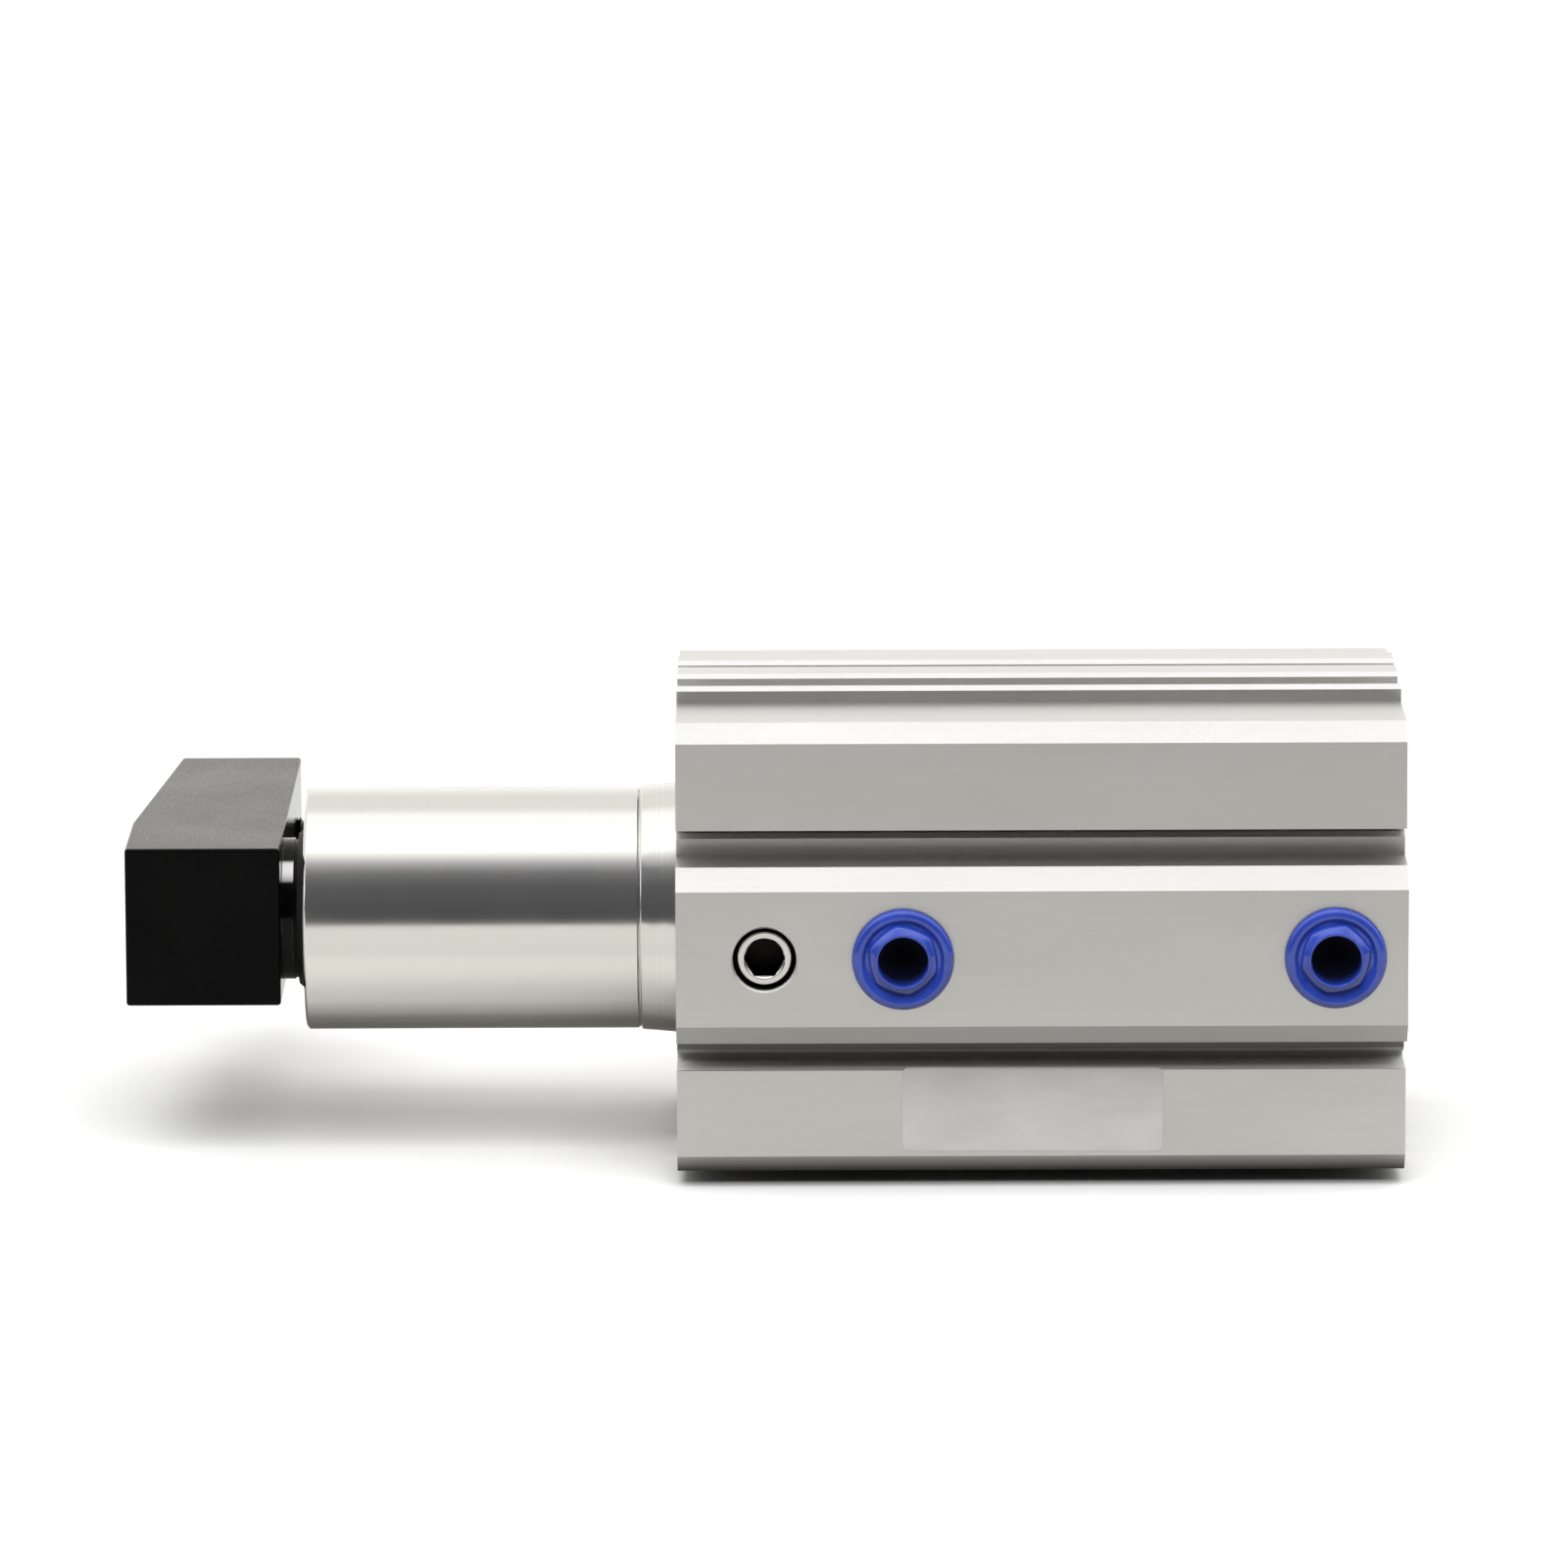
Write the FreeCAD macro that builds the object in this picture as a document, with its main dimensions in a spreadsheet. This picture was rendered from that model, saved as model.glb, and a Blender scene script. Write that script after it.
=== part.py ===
import FreeCAD, Part
import math
import os
import Sketcher

doc = FreeCAD.newDocument("rotary_clamp_cylinder")
sheet = doc.addObject("Spreadsheet::Sheet", "Sizes")
Vec = FreeCAD.Vector
SHEET_ROWS = []


class Size:
    """A number together with the sheet expression that it comes from."""

    def __init__(self, value, text):
        self.value = float(value)
        self.text = text

    def __add__(self, other):
        other = as_size(other)
        return Size(self.value + other.value, "(%s + %s)" % (self.text, other.text))

    def __radd__(self, other):
        return as_size(other) + self

    def __sub__(self, other):
        other = as_size(other)
        return Size(self.value - other.value, "(%s - %s)" % (self.text, other.text))

    def __rsub__(self, other):
        return as_size(other) - self

    def __mul__(self, other):
        other = as_size(other)
        return Size(self.value * other.value, "(%s * %s)" % (self.text, other.text))

    def __rmul__(self, other):
        return as_size(other) * self

    def __truediv__(self, other):
        other = as_size(other)
        return Size(self.value / other.value, "(%s / %s)" % (self.text, other.text))

    def __neg__(self):
        return Size(-self.value, "(0 - %s)" % self.text)


def as_size(number):
    if isinstance(number, Size):
        return number
    return Size(number, repr(float(number)))


def size(name, value, note):
    row = len(SHEET_ROWS) + 1
    SHEET_ROWS.append(name)
    sheet.set("A%d" % row, note)
    sheet.set("B%d" % row, str(value))
    sheet.setAlias("B%d" % row, name)
    return Size(value, "Sizes." + name)


def new_body(name):
    body = doc.addObject("PartDesign::Body", name)
    body.Label = name
    return body


def origin_part(body, role):
    for part in body.Origin.OriginFeatures:
        if part.Role == role:
            return part
    raise ValueError(role)


def new_sketch(body, role, offset=None):
    sketch = body.newObject("Sketcher::SketchObject", body.Name + "_sketch")
    sketch.AttachmentSupport = [(origin_part(body, role), "")]
    sketch.MapMode = "FlatFace"
    if offset is not None:
        sketch.AttachmentOffset.Base.z = as_size(offset).value
        sketch.setExpression("AttachmentOffset.Base.z", as_size(offset).text)
    return sketch


def place_point(sketch, geo, pos, u, v):
    for axis, kind, length in ((-2, "DistanceX", as_size(u)), (-1, "DistanceY", as_size(v))):
        if length.value == 0.0:
            sketch.addConstraint(Sketcher.Constraint("PointOnObject", geo, pos, axis))
        else:
            index = sketch.addConstraint(Sketcher.Constraint(kind, -1, 1, geo, pos, length.value))
            sketch.setExpression("Constraints[%d]" % index, length.text)


def outline(sketch, points):
    """Draw a closed outline of straight lines through the given points."""
    first = sketch.GeometryCount
    spots = [Vec(as_size(u).value, as_size(v).value, 0) for u, v in points]
    count = len(spots)
    lines = [Part.LineSegment(spots[i], spots[(i + 1) % count]) for i in range(count)]
    sketch.addGeometry(lines, False)
    joins = [
        Sketcher.Constraint("Coincident", first + i, 2, first + (i + 1) % count, 1) for i in range(count)
    ]
    sketch.addConstraint(joins)
    for i, (u, v) in enumerate(points):
        place_point(sketch, first + i, 1, u, v)


def circle(sketch, u, v, radius):
    radius = as_size(radius)
    spot = Vec(as_size(u).value, as_size(v).value, 0)
    geo = sketch.addGeometry(Part.Circle(spot, Vec(0, 0, 1), radius.value), False)
    place_point(sketch, geo, 3, u, v)
    index = sketch.addConstraint(Sketcher.Constraint("Radius", geo, radius.value))
    sketch.setExpression("Constraints[%d]" % index, radius.text)


def hexagon(sketch, across):
    half = as_size(across) / 2
    corner = as_size(across) / math.sqrt(3)
    outline(sketch, [
        (corner, 0), (corner / 2, half), (-corner / 2, half),
        (-corner, 0), (-corner / 2, -half), (corner / 2, -half),
    ])


def double_flat(sketch, radius, across):
    """Draw a round with two flats, centred on the origin."""
    half = across / 2
    angle = math.asin(half.value / radius.value)
    run = math.sqrt(radius.value ** 2 - half.value ** 2)
    round_shape = Part.Circle(Vec(0, 0, 0), Vec(0, 0, 1), radius.value)
    right = sketch.addGeometry(Part.ArcOfCircle(round_shape, -angle, angle), False)
    left = sketch.addGeometry(Part.ArcOfCircle(round_shape, math.pi - angle, math.pi + angle), False)
    top = sketch.addGeometry(Part.LineSegment(Vec(run, half.value, 0), Vec(-run, half.value, 0)), False)
    low = sketch.addGeometry(Part.LineSegment(Vec(-run, -half.value, 0), Vec(run, -half.value, 0)), False)
    sketch.addConstraint([
        Sketcher.Constraint("Coincident", right, 3, -1, 1),
        Sketcher.Constraint("Coincident", left, 3, -1, 1),
        Sketcher.Constraint("Coincident", right, 2, top, 1),
        Sketcher.Constraint("Coincident", top, 2, left, 1),
        Sketcher.Constraint("Coincident", left, 2, low, 1),
        Sketcher.Constraint("Coincident", low, 2, right, 1),
        Sketcher.Constraint("Horizontal", top),
        Sketcher.Constraint("Horizontal", low),
        Sketcher.Constraint("Equal", right, left),
    ])
    index = sketch.addConstraint(Sketcher.Constraint("Radius", right, radius.value))
    sketch.setExpression("Constraints[%d]" % index, radius.text)
    index = sketch.addConstraint(Sketcher.Constraint("DistanceY", -1, 1, top, 1, half.value))
    sketch.setExpression("Constraints[%d]" % index, half.text)
    index = sketch.addConstraint(Sketcher.Constraint("DistanceY", low, 1, -1, 1, half.value))
    sketch.setExpression("Constraints[%d]" % index, half.text)


def pad(body, sketch, length, flip=False):
    feature = body.newObject("PartDesign::Pad", body.Name + "_pad")
    feature.Profile = sketch
    feature.setExpression("Length", length.text)
    feature.Reversed = flip
    body.Tip = feature
    return feature


def pocket(body, sketch, length=None, flip=False):
    feature = body.newObject("PartDesign::Pocket", body.Name + "_pocket")
    feature.Profile = sketch
    if length is None:
        feature.Type = "ThroughAll"
    else:
        feature.Type = "Length"
        feature.setExpression("Length", length.text)
    feature.Reversed = flip
    body.Tip = feature
    return feature


def turn(body, sketch, axis="H_Axis"):
    feature = body.newObject("PartDesign::Revolution", body.Name + "_turned")
    feature.Profile = sketch
    feature.ReferenceAxis = (sketch, [axis])
    feature.Angle = 360
    body.Tip = feature
    return feature


def turned(name, points, axis="H_Axis"):
    body = new_body(name)
    sketch = new_sketch(body, "XY_Plane")
    outline(sketch, points)
    turn(body, sketch, axis)
    return body


def ring(name, start, end, inner, outer):
    return turned(name, [(start, inner), (end, inner), (end, outer), (start, outer)])


def round_ring(name, middle, radius, section):
    body = new_body(name)
    sketch = new_sketch(body, "XY_Plane")
    circle(sketch, middle, radius, section)
    turn(body, sketch)
    return body


def groove(body, start, end, inner, outer):
    sketch = new_sketch(body, "XY_Plane")
    outline(sketch, [(start, inner), (end, inner), (end, outer), (start, outer)])
    feature = body.newObject("PartDesign::Groove", body.Name + "_groove")
    feature.Profile = sketch
    feature.ReferenceAxis = (sketch, ["H_Axis"])
    feature.Angle = 360
    body.Tip = feature
    return feature


def mouth_cone(body, place, depth, radius):
    """Cut a 45 degree cone into a face square to Y, as deep as its radius at the face."""
    sketch = new_sketch(body, "XY_Plane")
    sketch.AttachmentOffset.Base.x = as_size(place).value
    sketch.setExpression("AttachmentOffset.Base.x", as_size(place).text)
    outline(sketch, [(0, -depth), (radius, -depth), (0, radius - depth)])
    feature = body.newObject("PartDesign::Groove", body.Name + "_mouth")
    feature.Profile = sketch
    feature.ReferenceAxis = (sketch, ["V_Axis"])
    feature.Angle = 360
    body.Tip = feature
    return feature


def around(body, features, count, angle):
    pattern = body.newObject("PartDesign::PolarPattern", body.Name + "_pattern")
    pattern.Originals = features
    pattern.Axis = (origin_part(body, "X_Axis"), [""])
    pattern.Angle = angle
    pattern.Occurrences = count
    body.Tip = pattern
    return pattern


# Extruded body
body_length = size("body_length", 83.0, "body, end face to end face")
body_side = size("body_side", 52.0, "body, across the corner blocks")
corner_chamfer = size("corner_chamfer", 2.1, "body, corner chamfer")
bore_dia = size("bore_dia", 40.0, "body, bore")
ridge_height = size("ridge_height", 5.0, "port ridge, above the corner blocks")
ridge_width = size("ridge_width", 20.4, "port ridge, across its foot")
ridge_chamfer = size("ridge_chamfer", 2.4, "port ridge, edge chamfer")
gutter_width = size("gutter_width", 3.7, "gutter beside the port ridge")
gutter_depth = size("gutter_depth", 4.2, "gutter beside the port ridge, below the corner blocks")
gutter_slot_width = size("gutter_slot_width", 1.15, "slot in the gutter, along the corner block")
gutter_slot_depth = size("gutter_slot_depth", 3.0, "slot in the gutter, below the gutter floor")
gutter_edge = size("gutter_edge", 0.55, "gutter, chamfer between floor and slot")
rail_height = size("rail_height", 1.8, "sensor rail, above the corner blocks")
rail_width = size("rail_width", 22.4, "sensor rail, overall")
rail_chamfer = size("rail_chamfer", 0.45, "sensor rail, edge chamfer")
slot_place = size("slot_place", 6.1, "sensor slot, from the middle of the rail")
slot_mouth = size("slot_mouth", 6.8, "sensor slot, mouth width")
slot_width = size("slot_width", 7.8, "sensor slot, inner width")
slot_lip = size("slot_lip", 1.3, "sensor and cable slots, lip thickness")
slot_depth = size("slot_depth", 3.9, "sensor slot, from the rail top")
cable_place = size("cable_place", 4.45, "cable slot, from the middle of the rail")
cable_mouth = size("cable_mouth", 3.3, "cable slot, mouth width")
cable_width = size("cable_width", 4.3, "cable slot, inner width")
cable_depth = size("cable_depth", 3.4, "cable slot, from the rail top")
mouth_chamfer = size("mouth_chamfer", 0.5, "sensor and cable slots, chamfer of the mouth")
bolt_pitch = size("bolt_pitch", 40.0, "mounting holes, square pitch")
bolt_hole = size("bolt_hole", 5.5, "mounting holes, through")
bolt_sink = size("bolt_sink", 9.0, "mounting holes, rear counterbore")
bolt_sink_depth = size("bolt_sink_depth", 7.0, "mounting holes, depth of the rear counterbore")

# Ports and guide screw place
guide_place = size("guide_place", 10.05, "guide screw, from the front face")
front_port_place = size("front_port_place", 25.75, "rod-side port, from the front face")
rear_port_inset = size("rear_port_inset", 8.25, "rear port, from the rear face")
port_dia = size("port_dia", 8.6, "ports, threaded part")
port_depth = size("port_depth", 7.6, "ports, threaded depth")
passage_dia = size("passage_dia", 3.6, "ports, passage to the bore")
front_passage_shift = size("front_passage_shift", 2.2, "rod-side passage, shift to the front")
rear_passage_shift = size("rear_passage_shift", 0.6, "rear passage, shift to the front")
port_mouth = size("port_mouth", 0.4, "ports, chamfer of the mouth")
guide_thread = size("guide_thread", 7.2, "guide screw, thread")
guide_mouth = size("guide_mouth", 0.25, "guide screw hole, chamfer of the mouth")

# Fits
static_gap = size("static_gap", 0.02, "radial gap of seated parts")
running_gap = size("running_gap", 0.05, "radial gap of running fits")
free_gap = size("free_gap", 0.35, "gap of moving parts that never touch")
stop_gap = size("stop_gap", 0.4, "gap left at the end stops")

# Snap rings and covers
ring_inset = size("ring_inset", 2.0, "snap rings, from the end face")
ring_thick = size("ring_thick", 1.5, "snap rings, thickness")
ring_width = size("ring_width", 3.6, "snap rings, radial width")
ring_groove = size("ring_groove", 1.25, "snap ring grooves, depth in the bore")
ring_opening = size("ring_opening", 9.0, "snap rings, opening between the ends")
ring_eye = size("ring_eye", 3.0, "snap rings, radius of an eye")
ring_eye_hole = size("ring_eye_hole", 1.1, "snap rings, radius of the eye hole")
front_cover_depth = size("front_cover_depth", 18.0, "front cover, length in the bore")
nose_length = size("nose_length", 43.0, "nose, from the body's front face")
nose_dia = size("nose_dia", 28.0, "nose")
nose_chamfer = size("nose_chamfer", 0.3, "nose, front rim chamfer")
collar_length = size("collar_length", 4.4, "nose collar, from the body's front face")
collar_dia = size("collar_dia", 29.0, "nose collar")
collar_edge = size("collar_edge", 0.15, "nose collar, height of its front edge above the nose")
collar_groove = size("collar_groove", 0.2, "turned groove in front of the nose collar, depth")
collar_bevel = size("collar_bevel", 0.25, "turned groove in front of the nose collar, half its width")
oring_depth = size("oring_depth", 1.9, "cover O-ring grooves, depth")
oring_width = size("oring_width", 2.5, "cover O-ring grooves, width")
oring_inset = size("oring_inset", 3.6, "front O-ring groove, from the cover's inner end")
back_flange = size("back_flange", 4.0, "back cover, flange thickness")
back_boss_dia = size("back_boss_dia", 34.0, "back cover, inner boss")
back_boss_length = size("back_boss_length", 2.3, "back cover, inner boss")
back_recess_dia = size("back_recess_dia", 24.0, "back cover, outer recess")
back_recess_depth = size("back_recess_depth", 1.2, "back cover, outer recess")
bumper_inner = size("bumper_inner", 22.0, "bumpers, inner diameter")
bumper_outer = size("bumper_outer", 30.0, "bumpers, outer diameter")
bumper_seat = size("bumper_seat", 1.4, "bumpers, depth of the seat")
bumper_proud = size("bumper_proud", 0.4, "bumpers, height above the seat")

# Rod guide
rod_dia = size("rod_dia", 16.0, "piston rod")
bush_wall = size("bush_wall", 1.25, "rod bush, wall")
bush_length = size("bush_length", 32.0, "rod bush")
bush_inset = size("bush_inset", 14.0, "rod bush, from the nose end")
wiper_depth = size("wiper_depth", 3.5, "rod wiper, seat depth")
wiper_width = size("wiper_width", 3.0, "rod wiper, radial width")
wiper_lip = size("wiper_lip", 0.9, "rod wiper, lip beyond the nose")
seal_inset = size("seal_inset", 6.2, "rod seal, from the nose end")
seal_length = size("seal_length", 4.2, "rod seal, groove length")
seal_width = size("seal_width", 3.5, "rod seal, radial width")
land_gap = size("land_gap", 0.4, "gap between the rod and the cover's lands")

# Motion
stroke = size("stroke", 35.0, "full stroke of the rod")
swing_deg = size("swing_deg", 90.0, "swing of the arm over the stroke, in degrees")

# Guide screw and cam groove
guide_sink = size("guide_sink", 0.8, "guide screw, below the ridge face")
guide_pin = size("guide_pin", 5.0, "guide screw, shank in the cover")
guide_tip = size("guide_tip", 4.0, "guide screw, tip in the cam groove")
guide_hex = size("guide_hex", 4.0, "guide screw, hex socket across flats")
guide_hex_depth = size("guide_hex_depth", 4.0, "guide screw, hex socket depth")
guide_chamfer = size("guide_chamfer", 0.65, "guide screw, outer chamfer")
guide_lead = size("guide_lead", 4.8, "guide screw, countersink of the socket")
cam_depth = size("cam_depth", 2.2, "cam groove, depth in the rod")

# Piston
piston_length = size("piston_length", 15.0, "piston with magnet and retainer")
wear_inset = size("wear_inset", 1.5, "wear ring groove, from the piston's front")
wear_length = size("wear_length", 3.0, "wear ring groove, length")
wear_depth = size("wear_depth", 1.8, "wear ring groove, depth below the bore")
wall_between = size("wall_between", 1.0, "piston, wall between the grooves")
pack_length = size("pack_length", 2.6, "piston seal groove, length")
pack_depth = size("pack_depth", 3.4, "piston seal groove, depth below the bore")
piston_chamfer = size("piston_chamfer", 1.2, "piston, front edge")
hub_dia = size("hub_dia", 24.0, "piston hub under the magnet")
magnet_length = size("magnet_length", 3.5, "magnet ring, length")
retainer_length = size("retainer_length", 2.5, "magnet retainer, length")
spigot_dia = size("spigot_dia", 12.0, "rod spigot in the piston")
spigot_length = size("spigot_length", 6.8, "rod spigot in the piston, length")
web_length = size("web_length", 7.0, "piston web on the rod spigot")
spigot_oring = size("spigot_oring", 1.2, "O-ring section on the rod spigot")
washer_dia = size("washer_dia", 18.2, "piston washer, outer diameter")
washer_thick = size("washer_thick", 1.6, "piston washer, thickness")
screw_thread = size("screw_thread", 8.0, "arm bolt, piston screw and clamp screw, thread")
screw_head = size("screw_head", 13.0, "arm bolt and piston screw, head")
screw_hex = size("screw_hex", 5.0, "arm bolt and piston screw, hex socket across flats")
screw_hex_depth = size("screw_hex_depth", 3.0, "arm bolt and piston screw, hex socket depth")
piston_head_length = size("piston_head_length", 5.0, "piston screw, head length")
tapped_depth = size("tapped_depth", 15.0, "tapped holes in the rod, depth")
screw_engage = size("screw_engage", 13.0, "screws, length in the rod")

# Arm
arm_gap = size("arm_gap", 2.7, "gap between the nose and the arm")
arm_thick = size("arm_thick", 17.8, "arm, along the rod")
arm_height = size("arm_height", 18.4, "arm, across")
arm_back = size("arm_back", 11.4, "arm, from the rod axis to the near end")
arm_reach = size("arm_reach", 46.5, "arm, from the rod axis to the tip")
arm_taper_start = size("arm_taper_start", 5.7, "arm, from the rod axis to the start of the taper")
arm_taper = size("arm_taper", 3.6, "arm, thickness lost at the tip")
arm_edge = size("arm_edge", 0.25, "arm, edge chamfer")
arm_spigot_dia = size("arm_spigot_dia", 11.0, "rod spigot in the arm")
arm_spigot_flat = size("arm_spigot_flat", 9.0, "rod spigot in the arm, across the flats")
arm_boss_dia = size("arm_boss_dia", 16.4, "arm, boss on the rod shoulder")
arm_spigot_length = size("arm_spigot_length", 8.4, "rod spigot in the arm, length")
arm_web = size("arm_web", 2.4, "arm, web under the bolt washer")
arm_sink_dia = size("arm_sink_dia", 14.0, "arm, counterbore for the bolt head")
arm_head_length = size("arm_head_length", 6.0, "arm bolt, head length")
arm_washer_thick = size("arm_washer_thick", 1.6, "arm washer, thickness")
clear_gap = size("clear_gap", 0.3, "gap of screws in clearance holes")
clamp_inset = size("clamp_inset", 11.5, "clamp screw, from the arm tip")
clamp_head = size("clamp_head", 13.0, "clamp screw, hex head across flats")
clamp_head_length = size("clamp_head_length", 5.3, "clamp screw, head length")
clamp_proud = size("clamp_proud", 5.7, "clamp screw, thread shown below the arm")
clamp_sunk = size("clamp_sunk", 0.6, "clamp screw, end below the arm's outer face")
clamp_crown = size("clamp_crown", 0.7, "clamp screw, chamfer of the head's corners")

# Port plugs
plug_flange = size("plug_flange", 11.6, "port plug, flange")
plug_flange_thick = size("plug_flange_thick", 1.0, "port plug, flange thickness")
plug_edge = size("plug_edge", 0.6, "port plug, flange edge")
plug_collar_base = size("plug_collar_base", 7.8, "port plug, collar at the flange")
plug_collar_rim = size("plug_collar_rim", 6.2, "port plug, collar at its rim")
plug_collar_height = size("plug_collar_height", 0.9, "port plug, collar height")
plug_length = size("plug_length", 6.2, "port plug, length in the port")
plug_gap = size("plug_gap", 0.32, "port plug, radial gap in the port")
plug_hole = size("plug_hole", 5.5, "port plug, blind hole")
plug_floor = size("plug_floor", 1.0, "port plug, floor of the blind hole")
plug_taper = size("plug_taper", 0.5, "port plug, taper of the tip")
doc.recompute()

# Places along the rod axis; the body's front face is at zero
half_side = body_side / 2
bore = bore_dia / 2
ridge_face = half_side + ridge_height
rail_top = half_side + rail_height
rear_port_place = body_length - rear_port_inset
front_seat = ring_inset + ring_thick
back_seat = body_length - ring_inset - ring_thick
cover_end = front_seat + front_cover_depth
flange_start = back_seat - back_flange
boss_start = flange_start - back_boss_length
rod = rod_dia / 2
cover = bore - running_gap
piston_rear = boss_start - bumper_proud - stop_gap
piston_front = piston_rear - piston_length
arm_inner = -(nose_length + arm_gap)
arm_outer = arm_inner - arm_thick
tip_outer = arm_outer + arm_taper
arm_face = -(nose_length + wiper_lip + stop_gap)
clamp_place = arm_reach - clamp_inset
cam_floor = rod - cam_depth

# Cylinder body: extrusion with a port ridge, three sensor rails and machined holes
cylinder_body = new_body("cylinder_body")
foot = ridge_width / 2
flat = foot - ridge_chamfer
block = foot + gutter_width
slot_side = block - gutter_slot_width
face = half_side - corner_chamfer
gutter = half_side - gutter_depth
slot_base = gutter - gutter_slot_depth
profile = new_sketch(cylinder_body, "YZ_Plane")
outline(profile, [
    (-face, -half_side), (face, -half_side), (half_side, -face), (half_side, face),
    (face, half_side), (-face, half_side), (-half_side, face),
    (-half_side, block), (-slot_base, block), (-slot_base, slot_side), (-(gutter - gutter_edge), slot_side),
    (-gutter, slot_side - gutter_edge), (-gutter, foot),
    (-(ridge_face - ridge_chamfer), foot), (-ridge_face, flat),
    (-ridge_face, -flat), (-(ridge_face - ridge_chamfer), -foot),
    (-gutter, -foot), (-gutter, gutter_edge - slot_side), (-(gutter - gutter_edge), -slot_side),
    (-slot_base, -slot_side), (-slot_base, -block), (-half_side, -block), (-half_side, -face),
])
pad(cylinder_body, profile, body_length)

rail = rail_width / 2
rail_root = half_side - slot_depth / 2
rail_sketch = new_sketch(cylinder_body, "YZ_Plane")
outline(rail_sketch, [
    (-rail, -rail_root), (-rail, -(rail_top - rail_chamfer)), (-(rail - rail_chamfer), -rail_top),
    (rail - rail_chamfer, -rail_top), (rail, -(rail_top - rail_chamfer)), (rail, -rail_root),
])
rail_pad = pad(cylinder_body, rail_sketch, body_length)

slot_sketch = new_sketch(cylinder_body, "YZ_Plane")
lip = rail_top - slot_lip
for middle, mouth, inside, depth in (
    (slot_place, slot_mouth, slot_width, slot_depth),
    (-cable_place, cable_mouth, cable_width, cable_depth),
):
    half_mouth = mouth / 2
    half_slot = inside / 2
    wide = half_mouth + mouth_chamfer
    slot_floor = rail_top - depth
    outline(slot_sketch, [
        (middle - wide, -rail_top), (middle - half_mouth, -(rail_top - mouth_chamfer)),
        (middle - half_mouth, -lip), (middle - half_slot, -lip), (middle - half_slot, -slot_floor),
        (middle + half_slot, -slot_floor), (middle + half_slot, -lip), (middle + half_mouth, -lip),
        (middle + half_mouth, -(rail_top - mouth_chamfer)), (middle + wide, -rail_top),
    ])
slot_cut = pocket(cylinder_body, slot_sketch, flip=True)
around(cylinder_body, [rail_pad, slot_cut], 3, 180)

bore_sketch = new_sketch(cylinder_body, "YZ_Plane")
circle(bore_sketch, 0, 0, bore)
pocket(cylinder_body, bore_sketch, flip=True)
groove(cylinder_body, ring_inset, front_seat, bore / 2, bore + ring_groove)
groove(cylinder_body, back_seat, back_seat + ring_thick, bore / 2, bore + ring_groove)

hole_sketch = new_sketch(cylinder_body, "YZ_Plane")
circle(hole_sketch, bolt_pitch / 2, bolt_pitch / 2, bolt_hole / 2)
hole_cut = pocket(cylinder_body, hole_sketch, flip=True)
sink_sketch = new_sketch(cylinder_body, "YZ_Plane", body_length)
circle(sink_sketch, bolt_pitch / 2, bolt_pitch / 2, bolt_sink / 2)
sink_cut = pocket(cylinder_body, sink_sketch, bolt_sink_depth)
around(cylinder_body, [hole_cut, sink_cut], 4, 360)

port_sketch = new_sketch(cylinder_body, "XZ_Plane", ridge_face)
circle(port_sketch, front_port_place, 0, port_dia / 2)
circle(port_sketch, rear_port_place, 0, port_dia / 2)
pocket(cylinder_body, port_sketch, port_depth)
passage_sketch = new_sketch(cylinder_body, "XZ_Plane", ridge_face)
circle(passage_sketch, front_port_place - front_passage_shift, 0, passage_dia / 2)
circle(passage_sketch, rear_port_place - rear_passage_shift, 0, passage_dia / 2)
circle(passage_sketch, guide_place, 0, guide_thread / 2)
pocket(cylinder_body, passage_sketch, ridge_face)
mouth_cone(cylinder_body, guide_place, ridge_face, guide_thread / 2 + guide_mouth)
mouth_cone(cylinder_body, front_port_place, ridge_face, port_dia / 2 + port_mouth)
mouth_cone(cylinder_body, rear_port_place, ridge_face, port_dia / 2 + port_mouth)

# Front cover with its long nose
nose = nose_dia / 2
collar = collar_dia / 2
nose_end = -nose_length
wiper_seat = nose_end + wiper_depth
seal_start = nose_end + seal_inset
seal_end = seal_start + seal_length
bush_start = nose_end + bush_inset
bush_seat = rod + bush_wall
land = rod + land_gap
wiper_outer = rod + wiper_width
seal_outer = rod + seal_width
oring_end = cover_end - oring_inset
oring_start = oring_end - oring_width
oring_floor = cover - oring_depth
bumper_floor = cover_end - bumper_seat
front_cover = turned("front_cover", [
    (nose_end, wiper_outer), (wiper_seat, wiper_outer), (wiper_seat, land), (seal_start, land),
    (seal_start, seal_outer), (seal_end, seal_outer), (seal_end, land), (bush_start, land),
    (bush_start, bush_seat), (cover_end, bush_seat), (cover_end, bumper_inner / 2),
    (bumper_floor, bumper_inner / 2), (bumper_floor, bumper_outer / 2), (cover_end, bumper_outer / 2),
    (cover_end, cover), (oring_end, cover), (oring_end, oring_floor), (oring_start, oring_floor),
    (oring_start, cover), (front_seat, cover), (front_seat, collar), (0, collar),
    (-(collar_length - collar_bevel), nose + collar_edge), (-collar_length, nose - collar_groove),
    (-(collar_length + collar_bevel), nose), (nose_end + nose_chamfer, nose), (nose_end, nose - nose_chamfer),
])
guide_hole = new_sketch(front_cover, "XZ_Plane", bore)
circle(guide_hole, guide_place, 0, guide_pin / 2 + static_gap)
pocket(front_cover, guide_hole, bore)

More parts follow.
